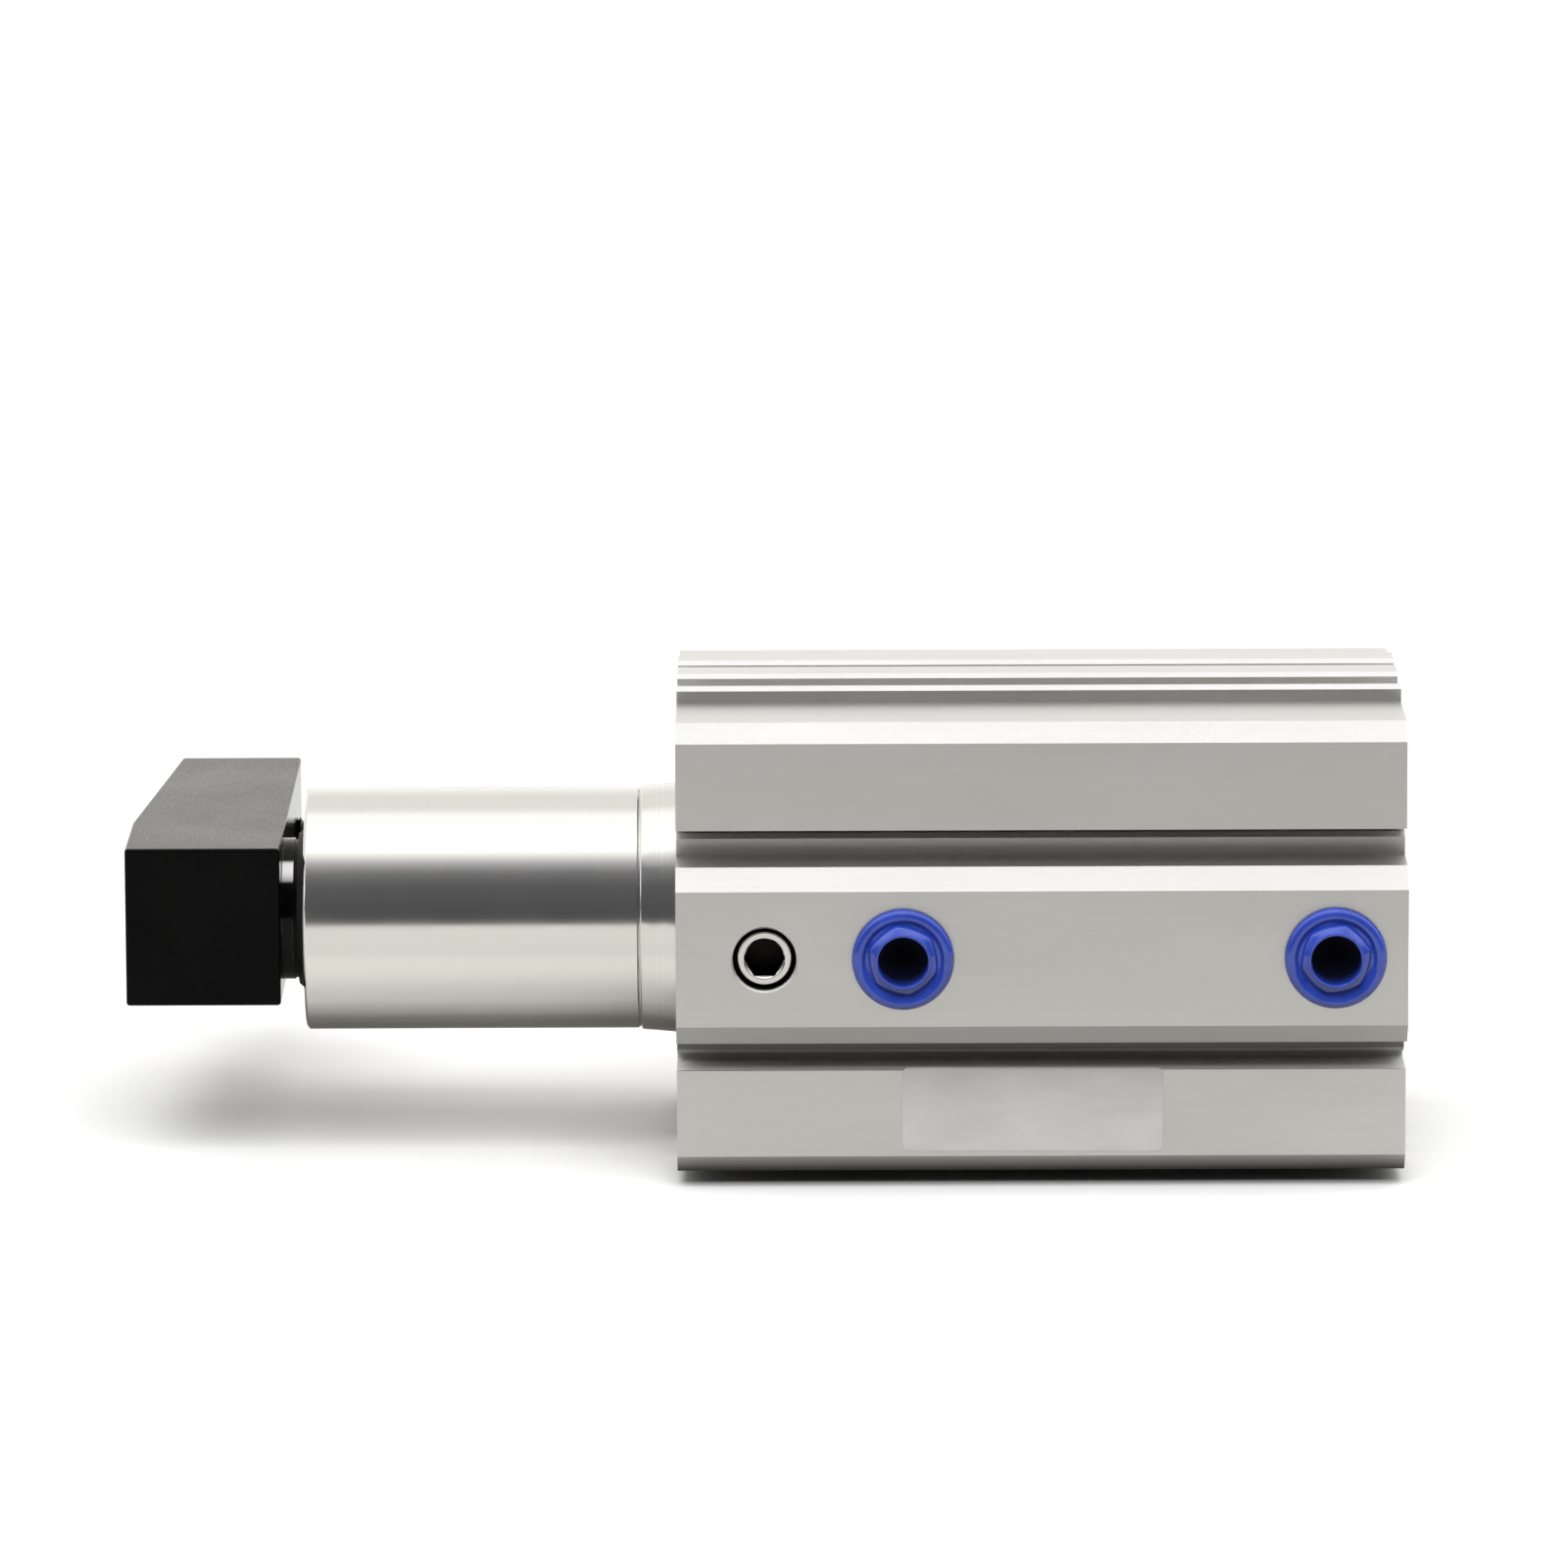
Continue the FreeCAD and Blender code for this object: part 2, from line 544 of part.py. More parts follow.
section = (bore - oring_floor) / 2 - static_gap
front_cover_oring = round_ring("front_cover_oring", (oring_start + oring_end) / 2,
                               (bore + oring_floor) / 2, section)
rod_bush = ring("rod_bush", bush_start, bush_start + bush_length, rod + running_gap, bush_seat - static_gap)
rod_wiper = turned("rod_wiper", [
    (nose_end - wiper_lip, rod + running_gap), (wiper_seat, rod + running_gap),
    (wiper_seat, wiper_outer - static_gap), (nose_end, wiper_outer - static_gap),
    (nose_end, rod + wiper_width / 2), (nose_end - wiper_lip, rod + wiper_width / 4),
])
rod_seal = turned("rod_seal", [
    (seal_start, rod + running_gap), (seal_end, rod + running_gap),
    (seal_end, rod + seal_width / 3), (seal_end - seal_length / 3, rod + seal_width / 2),
    (seal_end, rod + seal_width * 2 / 3), (seal_end, seal_outer - static_gap),
    (seal_start, seal_outer - static_gap),
])
front_bumper = ring("front_bumper", bumper_floor, cover_end + bumper_proud,
                    bumper_inner / 2 + static_gap, bumper_outer / 2 - static_gap)

# Back cover
back_oring_start = flange_start + (back_flange - oring_width) / 2
back_oring_end = back_oring_start + oring_width
back_bumper_floor = boss_start + bumper_seat
back_cover = turned("back_cover", [
    (boss_start, 0), (boss_start, bumper_inner / 2), (back_bumper_floor, bumper_inner / 2),
    (back_bumper_floor, bumper_outer / 2), (boss_start, bumper_outer / 2), (boss_start, back_boss_dia / 2),
    (flange_start, back_boss_dia / 2), (flange_start, cover), (back_oring_start, cover),
    (back_oring_start, oring_floor), (back_oring_end, oring_floor), (back_oring_end, cover),
    (back_seat, cover), (back_seat, back_recess_dia / 2),
    (back_seat - back_recess_depth, back_recess_dia / 2), (back_seat - back_recess_depth, 0),
])
back_cover_oring = round_ring(
    "back_cover_oring", (back_oring_start + back_oring_end) / 2, (bore + oring_floor) / 2, section)
rear_bumper = ring("rear_bumper", boss_start - bumper_proud, back_bumper_floor,
                   bumper_inner / 2 + static_gap, bumper_outer / 2 - static_gap)


def snap_ring(name, start):
    """A flat ring, open at the bottom, with an eye at each end."""
    body = new_body(name)
    outer = bore + ring_groove - running_gap
    inner = outer - ring_width
    eye_side = ring_opening / 2 + ring_eye
    eye_drop = inner - ring_eye / 3
    flat_ring = new_sketch(body, "YZ_Plane", start)
    circle(flat_ring, 0, 0, outer)
    circle(flat_ring, 0, 0, inner)
    pad(body, flat_ring, ring_thick)
    gap = new_sketch(body, "YZ_Plane", start)
    outline(gap, [
        (-eye_side, -outer * 2), (eye_side, -outer * 2), (eye_side, -inner / 2), (-eye_side, -inner / 2),
    ])
    pocket(body, gap, ring_thick, flip=True)
    eyes = new_sketch(body, "YZ_Plane", start)
    circle(eyes, eye_side, -eye_drop, ring_eye)
    circle(eyes, -eye_side, -eye_drop, ring_eye)
    pad(body, eyes, ring_thick)
    holes = new_sketch(body, "YZ_Plane", start)
    circle(holes, eye_side, -eye_drop, ring_eye_hole)
    circle(holes, -eye_side, -eye_drop, ring_eye_hole)
    pocket(body, holes, ring_thick, flip=True)
    return body


front_snap_ring = snap_ring("front_snap_ring", ring_inset)
back_snap_ring = snap_ring("back_snap_ring", back_seat)

# Guide screw, turned about its own axis and set into the ridge
thread = guide_thread / 2 - static_gap
guide_top = ridge_face - guide_sink
guide_neck = bore + static_gap
guide_shank_end = bush_seat + free_gap
guide_end = cam_floor + free_gap
guide_screw = turned("guide_screw", [
    (0, -guide_top), (thread - guide_chamfer, -guide_top), (thread, guide_chamfer - guide_top),
    (thread, -guide_neck), (guide_pin / 2, -guide_neck), (guide_pin / 2, -guide_shank_end),
    (guide_tip / 2, -guide_shank_end), (guide_tip / 2, -guide_end), (0, -guide_end),
], "V_Axis")
guide_socket = new_sketch(guide_screw, "XZ_Plane", guide_top)
hexagon(guide_socket, guide_hex)
pocket(guide_screw, guide_socket, guide_hex_depth)
mouth_cone(guide_screw, 0, guide_top, guide_lead / 2)
guide_screw.setExpression("Placement.Base.x", guide_place.text)

# Piston rod with the helical cam groove
spigot = spigot_dia / 2
tap = screw_thread / 2
rod_end = piston_front + spigot_length
rod_blank = turned("rod_blank", [
    (arm_face, 0), (arm_face, rod), (piston_front, rod), (piston_front, spigot),
    (rod_end, spigot), (rod_end, 0),
])
arm_spigot = new_sketch(rod_blank, "YZ_Plane", arm_face)
double_flat(arm_spigot, arm_spigot_dia / 2, arm_spigot_flat)
pad(rod_blank, arm_spigot, arm_spigot_length, flip=True)
arm_spigot_end = arm_face - arm_spigot_length
front_tap = new_sketch(rod_blank, "YZ_Plane", arm_spigot_end)
circle(front_tap, 0, 0, tap)
pocket(rod_blank, front_tap, tapped_depth, flip=True)
rear_tap = new_sketch(rod_blank, "YZ_Plane", rod_end)
circle(rear_tap, 0, 0, tap)
pocket(rod_blank, rear_tap, tapped_depth)

cam_turn = FreeCAD.Rotation(Vec(0, -1, 0), Vec(0, 0, -1), Vec(1, 0, 0), "ZXY")
cam_path = doc.addObject("Part::Helix", "cam_path")
cam_path.LocalCoord = 1
cam_path.setExpression("Pitch", (stroke * 360 / swing_deg).text)
cam_path.setExpression("Height", stroke.text)
cam_path.setExpression("Radius", rod.text)
cam_path.Placement = FreeCAD.Placement(Vec(guide_place.value, 0, 0), cam_turn)
cam_path.setExpression("Placement.Base.x", guide_place.text)

cam_half = guide_tip / 2 + free_gap
lean = "atan(2 * pi * %s * %s / (%s * 360))" % (rod.text, swing_deg.text, stroke.text)
cam_side = Size(cam_half.value / 0.94, "(%s / cos(%s))" % (cam_half.text, lean))
cam_section = doc.addObject("Sketcher::SketchObject", "cam_section")
cam_section.Placement = FreeCAD.Placement(Vec(guide_place.value, 0, 0), cam_turn)
cam_section.setExpression("Placement.Base.x", guide_place.text)
cam_top = rod + cam_depth / 2
outline(cam_section, [
    (cam_floor, -cam_side), (cam_top, -cam_side), (cam_top, cam_side), (cam_floor, cam_side),
])
cam_sweep = doc.addObject("Part::Sweep", "cam_sweep")
cam_sweep.Sections = [cam_section]
cam_sweep.Spine = (cam_path, ["Edge1"])
cam_sweep.Solid = True
cam_sweep.Frenet = True


def cam_end(name, place, angle):
    """A radial end mill at one end of the cam groove."""
    mill = doc.addObject("Part::Cylinder", name)
    mill.setExpression("Radius", cam_half.text)
    mill.setExpression("Height", (cam_top - cam_floor).text)
    mill.Placement = FreeCAD.Placement(Vec(0, 0, 0), FreeCAD.Rotation(Vec(1, 0, 0), 90 - angle.value))
    mill.setExpression("Placement.Base.x", place.text)
    mill.setExpression("Placement.Base.y", "-1 * %s * cos(%s * 1 deg)" % (cam_floor.text, angle.text))
    mill.setExpression("Placement.Base.z", "%s * sin(%s * 1 deg)" % (cam_floor.text, angle.text))
    mill.setExpression("Placement.Rotation.Angle", "(90 - %s) * 1 deg" % angle.text)
    return mill


def cut(name, base, tool):
    result = doc.addObject("Part::Cut", name)
    result.Base = base
    result.Tool = tool
    return result


cam_start = cam_end("cam_start", guide_place, as_size(0))
cam_stop = cam_end("cam_stop", guide_place + stroke, swing_deg)
rod_grooved = cut("rod_grooved", rod_blank, cam_sweep)
rod_started = cut("rod_started", rod_grooved, cam_start)
piston_rod = cut("piston_rod", rod_started, cam_stop)

# Piston group
piston_side = bore - free_gap
wear_start = piston_front + wear_inset
wear_end = wear_start + wear_length
pack_start = wear_end + wall_between
pack_end = pack_start + pack_length
hub_start = piston_rear - magnet_length - retainer_length
web_end = piston_front + web_length
hub = hub_dia / 2
sink = washer_dia / 2 + static_gap
wear_floor = bore - wear_depth
pack_floor = bore - pack_depth
spigot_bore = spigot + static_gap
static_start = piston_front + (spigot_length - spigot_oring * 1.4) / 2
static_end = static_start + spigot_oring * 1.4
static_floor = spigot_bore + spigot_oring
piston = turned("piston", [
    (piston_front, spigot_bore), (static_start, spigot_bore), (static_start, static_floor),
    (static_end, static_floor), (static_end, spigot_bore), (web_end, spigot_bore), (web_end, sink),
    (piston_rear, sink), (piston_rear, hub), (hub_start, hub), (hub_start, piston_side),
    (pack_end, piston_side), (pack_end, pack_floor), (pack_start, pack_floor), (pack_start, piston_side),
    (wear_end, piston_side), (wear_end, wear_floor), (wear_start, wear_floor), (wear_start, piston_side),
    (piston_front + piston_chamfer, piston_side), (piston_front, piston_side - piston_chamfer),
])
piston_oring = round_ring("piston_oring", (static_start + static_end) / 2,
                          spigot_bore + spigot_oring / 2, spigot_oring / 2 - static_gap / 2)
wear_ring = ring("wear_ring", wear_start + running_gap, wear_end - running_gap,
                 wear_floor + running_gap, bore - running_gap)
piston_seal = turned("piston_seal", [
    (pack_start + running_gap, pack_floor + running_gap), (pack_end - running_gap, pack_floor + running_gap),
    (pack_end - running_gap, bore - running_gap), ((pack_start + pack_end) / 2, bore - pack_depth / 4),
    (pack_start + running_gap, bore - running_gap),
])
magnet_end = hub_start + magnet_length
magnet_ring = ring("magnet_ring", hub_start, magnet_end, hub + static_gap, piston_side - running_gap)
magnet_retainer = ring("magnet_retainer", magnet_end, piston_rear, hub + static_gap, piston_side)
washer_end = web_end + washer_thick
shank = tap - static_gap
piston_washer = ring("piston_washer", web_end, washer_end, tap + clear_gap, washer_dia / 2)
piston_screw = turned("piston_screw", [
    (rod_end - screw_engage, 0), (rod_end - screw_engage, shank), (washer_end, shank),
    (washer_end, screw_head / 2), (washer_end + piston_head_length, screw_head / 2),
    (washer_end + piston_head_length, 0),
])
piston_socket = new_sketch(piston_screw, "YZ_Plane", washer_end + piston_head_length)
hexagon(piston_socket, screw_hex)
pocket(piston_screw, piston_socket, screw_hex_depth)

# Clamp arm
clamp_arm = new_body("clamp_arm")
arm_sketch = new_sketch(clamp_arm, "XY_Plane", -arm_height / 2)
outline(arm_sketch, [
    (arm_inner, -arm_back), (arm_inner, arm_reach), (tip_outer, arm_reach),
    (arm_outer, arm_taper_start), (arm_outer, -arm_back),
])
arm_pad = pad(clamp_arm, arm_sketch, arm_height)
doc.recompute()
arm_edges = clamp_arm.newObject("PartDesign::Chamfer", "clamp_arm_edges")
arm_edges.Base = (arm_pad, ["Edge%d" % (i + 1) for i in range(len(arm_pad.Shape.Edges))])
arm_edges.setExpression("Size", arm_edge.text)
clamp_arm.Tip = arm_edges
arm_boss = new_sketch(clamp_arm, "YZ_Plane", arm_inner)
circle(arm_boss, 0, 0, arm_boss_dia / 2)
pad(clamp_arm, arm_boss, arm_face - arm_inner)
arm_seat = new_sketch(clamp_arm, "YZ_Plane", arm_face)
double_flat(arm_seat, arm_spigot_dia / 2 + static_gap, arm_spigot_flat + static_gap * 2)
pocket(clamp_arm, arm_seat, arm_spigot_length + clear_gap)
web_face = arm_face - arm_spigot_length - clear_gap - arm_web
arm_clear = new_sketch(clamp_arm, "YZ_Plane", arm_inner)
circle(arm_clear, 0, 0, tap + clear_gap)
circle(arm_clear, clamp_place, 0, tap)
pocket(clamp_arm, arm_clear)
arm_sink = new_sketch(clamp_arm, "YZ_Plane", arm_outer)
circle(arm_sink, 0, 0, arm_sink_dia / 2)
pocket(clamp_arm, arm_sink, web_face - arm_outer, flip=True)
arm_washer = ring("arm_washer", web_face - arm_washer_thick, web_face, tap + clear_gap, screw_head / 2)
arm_head = web_face - arm_washer_thick
arm_bolt = turned("arm_bolt", [
    (arm_head - arm_head_length, 0), (arm_head - arm_head_length, screw_head / 2), (arm_head, screw_head / 2),
    (arm_head, shank), (arm_spigot_end + screw_engage, shank), (arm_spigot_end + screw_engage, 0),
])
arm_socket = new_sketch(arm_bolt, "YZ_Plane", arm_head - arm_head_length)
hexagon(arm_socket, screw_hex)
pocket(arm_bolt, arm_socket, screw_hex_depth, flip=True)

# Clamp screw at the arm's tip, hex head towards the work
clamp_share = (clamp_place - arm_taper_start) / (arm_reach - arm_taper_start)
clamp_end = arm_outer + arm_taper * clamp_share + clamp_sunk
clamp_seat = arm_inner + clamp_proud
clamp_face = clamp_seat + clamp_head_length
clamp_screw = turned("clamp_screw", [
    (clamp_end, 0), (clamp_end, shank), (clamp_face, shank), (clamp_face, 0),
])
head_sketch = new_sketch(clamp_screw, "YZ_Plane", clamp_seat)
hexagon(head_sketch, clamp_head)
pad(clamp_screw, head_sketch, clamp_head_length)
corner = clamp_head / math.sqrt(3)
crown_sketch = new_sketch(clamp_screw, "XY_Plane")
outline(crown_sketch, [
    (clamp_face - clamp_crown, corner), (clamp_face, corner - clamp_crown * 1.7),
    (clamp_face, corner * 1.2), (clamp_face - clamp_crown, corner * 1.2),
])
crown = clamp_screw.newObject("PartDesign::Groove", "clamp_screw_crown")
crown.Profile = crown_sketch
crown.ReferenceAxis = (crown_sketch, ["H_Axis"])
crown.Angle = 360
clamp_screw.Tip = crown
clamp_screw.setExpression("Placement.Base.y", clamp_place.text)


def port_plug(name, place):
    """A hollow push-in plug with a flange and a raised collar round its hole."""
    shell = port_dia / 2 - plug_gap
    tip = plug_length - ridge_face
    flange_face = -(ridge_face + plug_flange_thick)
    rim = flange_face - plug_collar_height
    body = turned(name, [
        (0, tip), (shell - plug_taper, tip), (shell, -ridge_face + plug_taper), (shell, -ridge_face),
        (plug_flange / 2, -ridge_face), (plug_flange / 2, flange_face + plug_edge),
        (plug_flange / 2 - plug_edge, flange_face), (plug_collar_base / 2, flange_face),
        (plug_collar_rim / 2, rim), (plug_hole / 2, rim),
        (plug_hole / 2, tip - plug_floor), (0, tip - plug_floor),
    ], "V_Axis")
    body.setExpression("Placement.Base.x", place.text)
    return body


front_port_plug = port_plug("front_port_plug", front_port_place)
rear_port_plug = port_plug("rear_port_plug", rear_port_place)

NODES = [
    cylinder_body, front_cover, front_cover_oring, front_snap_ring, rod_bush, rod_seal, rod_wiper,
    guide_screw, front_bumper, rear_bumper, back_cover, back_cover_oring, back_snap_ring,
    piston_seal, wear_ring, piston_rod, piston, piston_oring, magnet_ring, magnet_retainer,
    piston_washer, piston_screw, clamp_arm, arm_bolt, arm_washer, clamp_screw,
    front_port_plug, rear_port_plug,
]

doc.recompute()
for item in doc.Objects:
    if "Invalid" in item.State or "Error" in item.State:
        raise RuntimeError("%s is %s" % (item.Label, item.State))
    if item.TypeId in ("PartDesign::Pocket", "PartDesign::Groove"):
        if item.Shape.Volume >= item.BaseFeature.Shape.Volume - 1e-6:
            raise RuntimeError("%s removes nothing" % item.Name)
os.makedirs("parts", exist_ok=True)
for node in NODES:
    if node.Shape.isNull() or not node.Shape.isValid():
        raise RuntimeError("%s has no valid shape" % node.Label)
    if len(node.Shape.Solids) != 1:
        raise RuntimeError("%s has %d solids" % (node.Label, len(node.Shape.Solids)))
    node.Shape.exportStep("parts/%s.step" % node.Label)
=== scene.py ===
import math

import bmesh
import bpy
from mathutils import Matrix, Vector


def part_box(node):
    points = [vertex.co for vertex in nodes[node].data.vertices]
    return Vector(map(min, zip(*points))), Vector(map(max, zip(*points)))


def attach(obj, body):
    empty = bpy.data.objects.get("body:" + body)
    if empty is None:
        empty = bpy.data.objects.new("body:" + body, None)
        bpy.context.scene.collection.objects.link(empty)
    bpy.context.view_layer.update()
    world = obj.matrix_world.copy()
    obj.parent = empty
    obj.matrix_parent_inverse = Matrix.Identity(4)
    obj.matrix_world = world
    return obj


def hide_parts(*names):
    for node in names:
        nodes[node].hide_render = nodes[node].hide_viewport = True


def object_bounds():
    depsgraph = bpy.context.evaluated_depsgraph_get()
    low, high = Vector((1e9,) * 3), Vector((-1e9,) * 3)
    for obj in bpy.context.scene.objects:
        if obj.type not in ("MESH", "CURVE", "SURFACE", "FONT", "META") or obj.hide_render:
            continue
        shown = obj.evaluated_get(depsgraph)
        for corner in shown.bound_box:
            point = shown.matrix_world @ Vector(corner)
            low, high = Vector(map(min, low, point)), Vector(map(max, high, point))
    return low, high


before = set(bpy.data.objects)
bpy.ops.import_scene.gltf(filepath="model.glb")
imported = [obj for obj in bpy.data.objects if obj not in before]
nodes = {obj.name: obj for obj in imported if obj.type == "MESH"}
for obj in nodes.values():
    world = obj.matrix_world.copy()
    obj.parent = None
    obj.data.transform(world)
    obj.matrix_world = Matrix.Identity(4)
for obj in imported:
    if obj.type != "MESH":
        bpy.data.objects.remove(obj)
cad_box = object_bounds()

MM = 0.001

# The photograph's camera: place in metres, turns in degrees, focal length in pixels of the image.
CAMERA_PLACE = Vector((0.01633, -1.29715, 0.25767))
CAMERA_YAW, CAMERA_PITCH, CAMERA_ROLL = -0.18, -10.62, -0.23
FOCAL_PIXELS, IMAGE_PIXELS = 11643.2, 1600
SENSOR_WIDTH = 36.0

# The studio, in metres: where the table ends in front of the part, and the fill lamp.
TABLE_FRONT, TABLE_FADE, TABLE_HALF = 0.32, 0.03, 6.0
FILL_WATTS = 40.0
FILL_PLACE = Vector((0.0, -1.25, 1.45))
FILL_WIDTH, FILL_HEIGHT = 1.6, 1.2

# Bands of the table along Y that the part reflects, in millimetres: start, end, colour. The first
# is painted light in front of the part, the second painted shadow under and behind it. Between
# BACK_START and BACK_END the table grows lighter.
TABLE_BANDS = [
    (-40.0, -28.0, (0.6, 0.592, 0.568)),
    (0.0, 25.0, (0.25, 0.246, 0.234)),
]
BAND_FADE = 12.0
BACK_START, BACK_END = 40.0, 120.0

# The studio's light by elevation in degrees, from the camera's side over the top to the backdrop,
# and the level that all of it is multiplied by.
LIGHT_LEVEL = 1.6
LIGHT_BY_ELEVATION = [
    (0.0, (0.05, 0.05, 0.052)),
    (32.0, (0.075, 0.075, 0.08)),
    (45.0, (0.13, 0.13, 0.135)),
    (55.0, (0.34, 0.34, 0.35)),
    (66.0, (0.85, 0.85, 0.85)),
    (72.0, (1.0, 1.0, 1.0)),
    (86.0, (1.0, 1.0, 1.0)),
    (94.0, (0.82, 0.82, 0.815)),
    (110.0, (0.81, 0.81, 0.80)),
    (119.0, (0.60, 0.59, 0.565)),
    (145.0, (0.58, 0.57, 0.55)),
    (162.0, (0.69, 0.68, 0.66)),
    (180.0, (0.71, 0.70, 0.68)),
]

# Zones of the finishes, in millimetres, with the painted shade and the painted highlight among
# them.
LOWER_GUTTER_Z, LOWER_GUTTER_Y = (-14.2, -9.6), (-25.5, -17.5)
# The lower gutter has dust below DUST_FULL; above DUST_NONE it is a darker metal, painted shade
# under the ridge.
DUST_FULL, DUST_NONE = -12.4, -12.2
# Painted shade towards the bottom edge: full at the first height, none at the second.
BASE_SHADE_FULL, BASE_SHADE_NONE = -25.8, -23.9
FLY_CUTTER_CENTRE = Vector((0.0, 60.0, 45.0))
NOSE_COLLAR_START, NOSE_COLLAR_END = -4.7, -4.2
# Width of the rod's painted shade next to the arm.
ROD_SHADE_BAND = 0.6
# Where the painted highlight lies on the arm's boss.
BOSS_HIGHLIGHT_Z, BOSS_HIGHLIGHT_Y = (4.6, 6.3), -2.0
SOCKET_HALF_FLATS, GUIDE_RIM = 2.02, 2.98

# Angles in degrees: shaded smooth below the first, taken as flat below the second, and edges
# sharper than the third get a break. Points nearer than the last two, in millimetres, are joined.
SMOOTH_DEGREES, FLAT_DEGREES, BREAK_DEGREES = 28.0, 0.4, 30.0
JOIN_FACES, JOIN_SLIVERS = 0.0005, 0.002

# Places and sizes of the scene's own pieces, in millimetres and degrees.
BLOCK_FACE, RIDGE_FACE, GUTTER_EDGE = -26.0, -31.0, -13.9
LABEL_LEFT, LABEL_RIGHT, LABEL_BOTTOM, LABEL_TOP = 25.7, 55.4, -23.3, -13.65
LABEL_CORNER, LABEL_TILT, LABEL_CURL = 0.7, 0.25, 3.2
LABEL_CORNER_STEPS = 6
LABEL_LAYERS = ((0.0, 0.0), (0.07, 0.0), (0.10, 0.03))  # height off the block, inset of the edge
LABEL_FOLDS = (0.0, 0.06, 0.12, 0.18, 0.24)  # heights above the bend, where the sheet may curl
PORT_RADIUS, PORT_THREAD_INNER, PORT_THREAD_PITCH = 4.3, 4.05, 0.907
PORT_THREAD_START, PORT_THREAD_TURNS, PORT_THREAD_SUNK = 0.95, 5.6, 0.03
PORT_THREAD_STEPS, PORT_THREAD_FADE = 40, 14
PORT_THREAD_FOOT, PORT_THREAD_CREST = 0.42, 0.06
PLUG_COLLAR, PLUG_FLANGE, PLUG_PLAY = 0.9, 1.0, 0.32
PLUG_GROOVES, PLUG_GROOVE_DEPTH = (1.5, 2.6, 3.7), 0.14
PLUG_HEXAGON, PLUG_ROUND, PLUG_HEXAGON_SHARE, PLUG_RIM = 7.5, 3.95, 0.42, 3.12
PLUG_HOLE, PLUG_STEPS = 2.78, 96
CLAMP_HEAD, CLAMP_FLATS, CLAMP_PITCH, BOSS_HEIGHT = 5.3, 13.0, 1.25, 1.4
CLAMP_THREAD_OUTER, CLAMP_THREAD_INNER = 3.98, 3.3
CLAMP_STEPS, CLAMP_STEPS_PER_PITCH = 72, 14


class Graph:
    """Short calls that add nodes to one node tree; each input takes a socket or a plain value."""

    def __init__(self, tree):
        self.tree = tree

    def node(self, kind, **settings):
        made = self.tree.nodes.new(kind)
        for setting, value in settings.items():
            setattr(made, setting, value)
        return made

    def join(self, source, target):
        self.tree.links.new(source, target)

    def feed(self, socket, value):
        if isinstance(value, bpy.types.NodeSocket):
            self.join(value, socket)
        else:
            socket.default_value = value

    def part(self, vector, axis):
        """The X, Y or Z part of a vector."""
        parts = self.node("ShaderNodeSeparateXYZ")
        self.join(vector, parts.inputs[0])
        return parts.outputs[axis]

    def math(self, operation, a, b=0.0):
        made = self.node("ShaderNodeMath", operation=operation)
        self.feed(made.inputs[0], a)
        self.feed(made.inputs[1], b)
        return made.outputs[0]

    def vector_math(self, operation, a, b=(0.0, 0.0, 0.0)):
        made = self.node("ShaderNodeVectorMath", operation=operation)
        self.feed(made.inputs[0], a)
        self.feed(made.inputs[1], b)
        return made.outputs

    def blend(self, amount, first, second):
        """One colour that fades into another."""
        made = self.node("ShaderNodeMix", data_type="RGBA")
        self.feed(made.inputs["Factor"], amount)
        for socket, colour in ((made.inputs[6], first), (made.inputs[7], second)):
            plain = not isinstance(colour, bpy.types.NodeSocket)
            self.feed(socket, (*colour, 1.0) if plain else colour)
        return made.outputs[2]


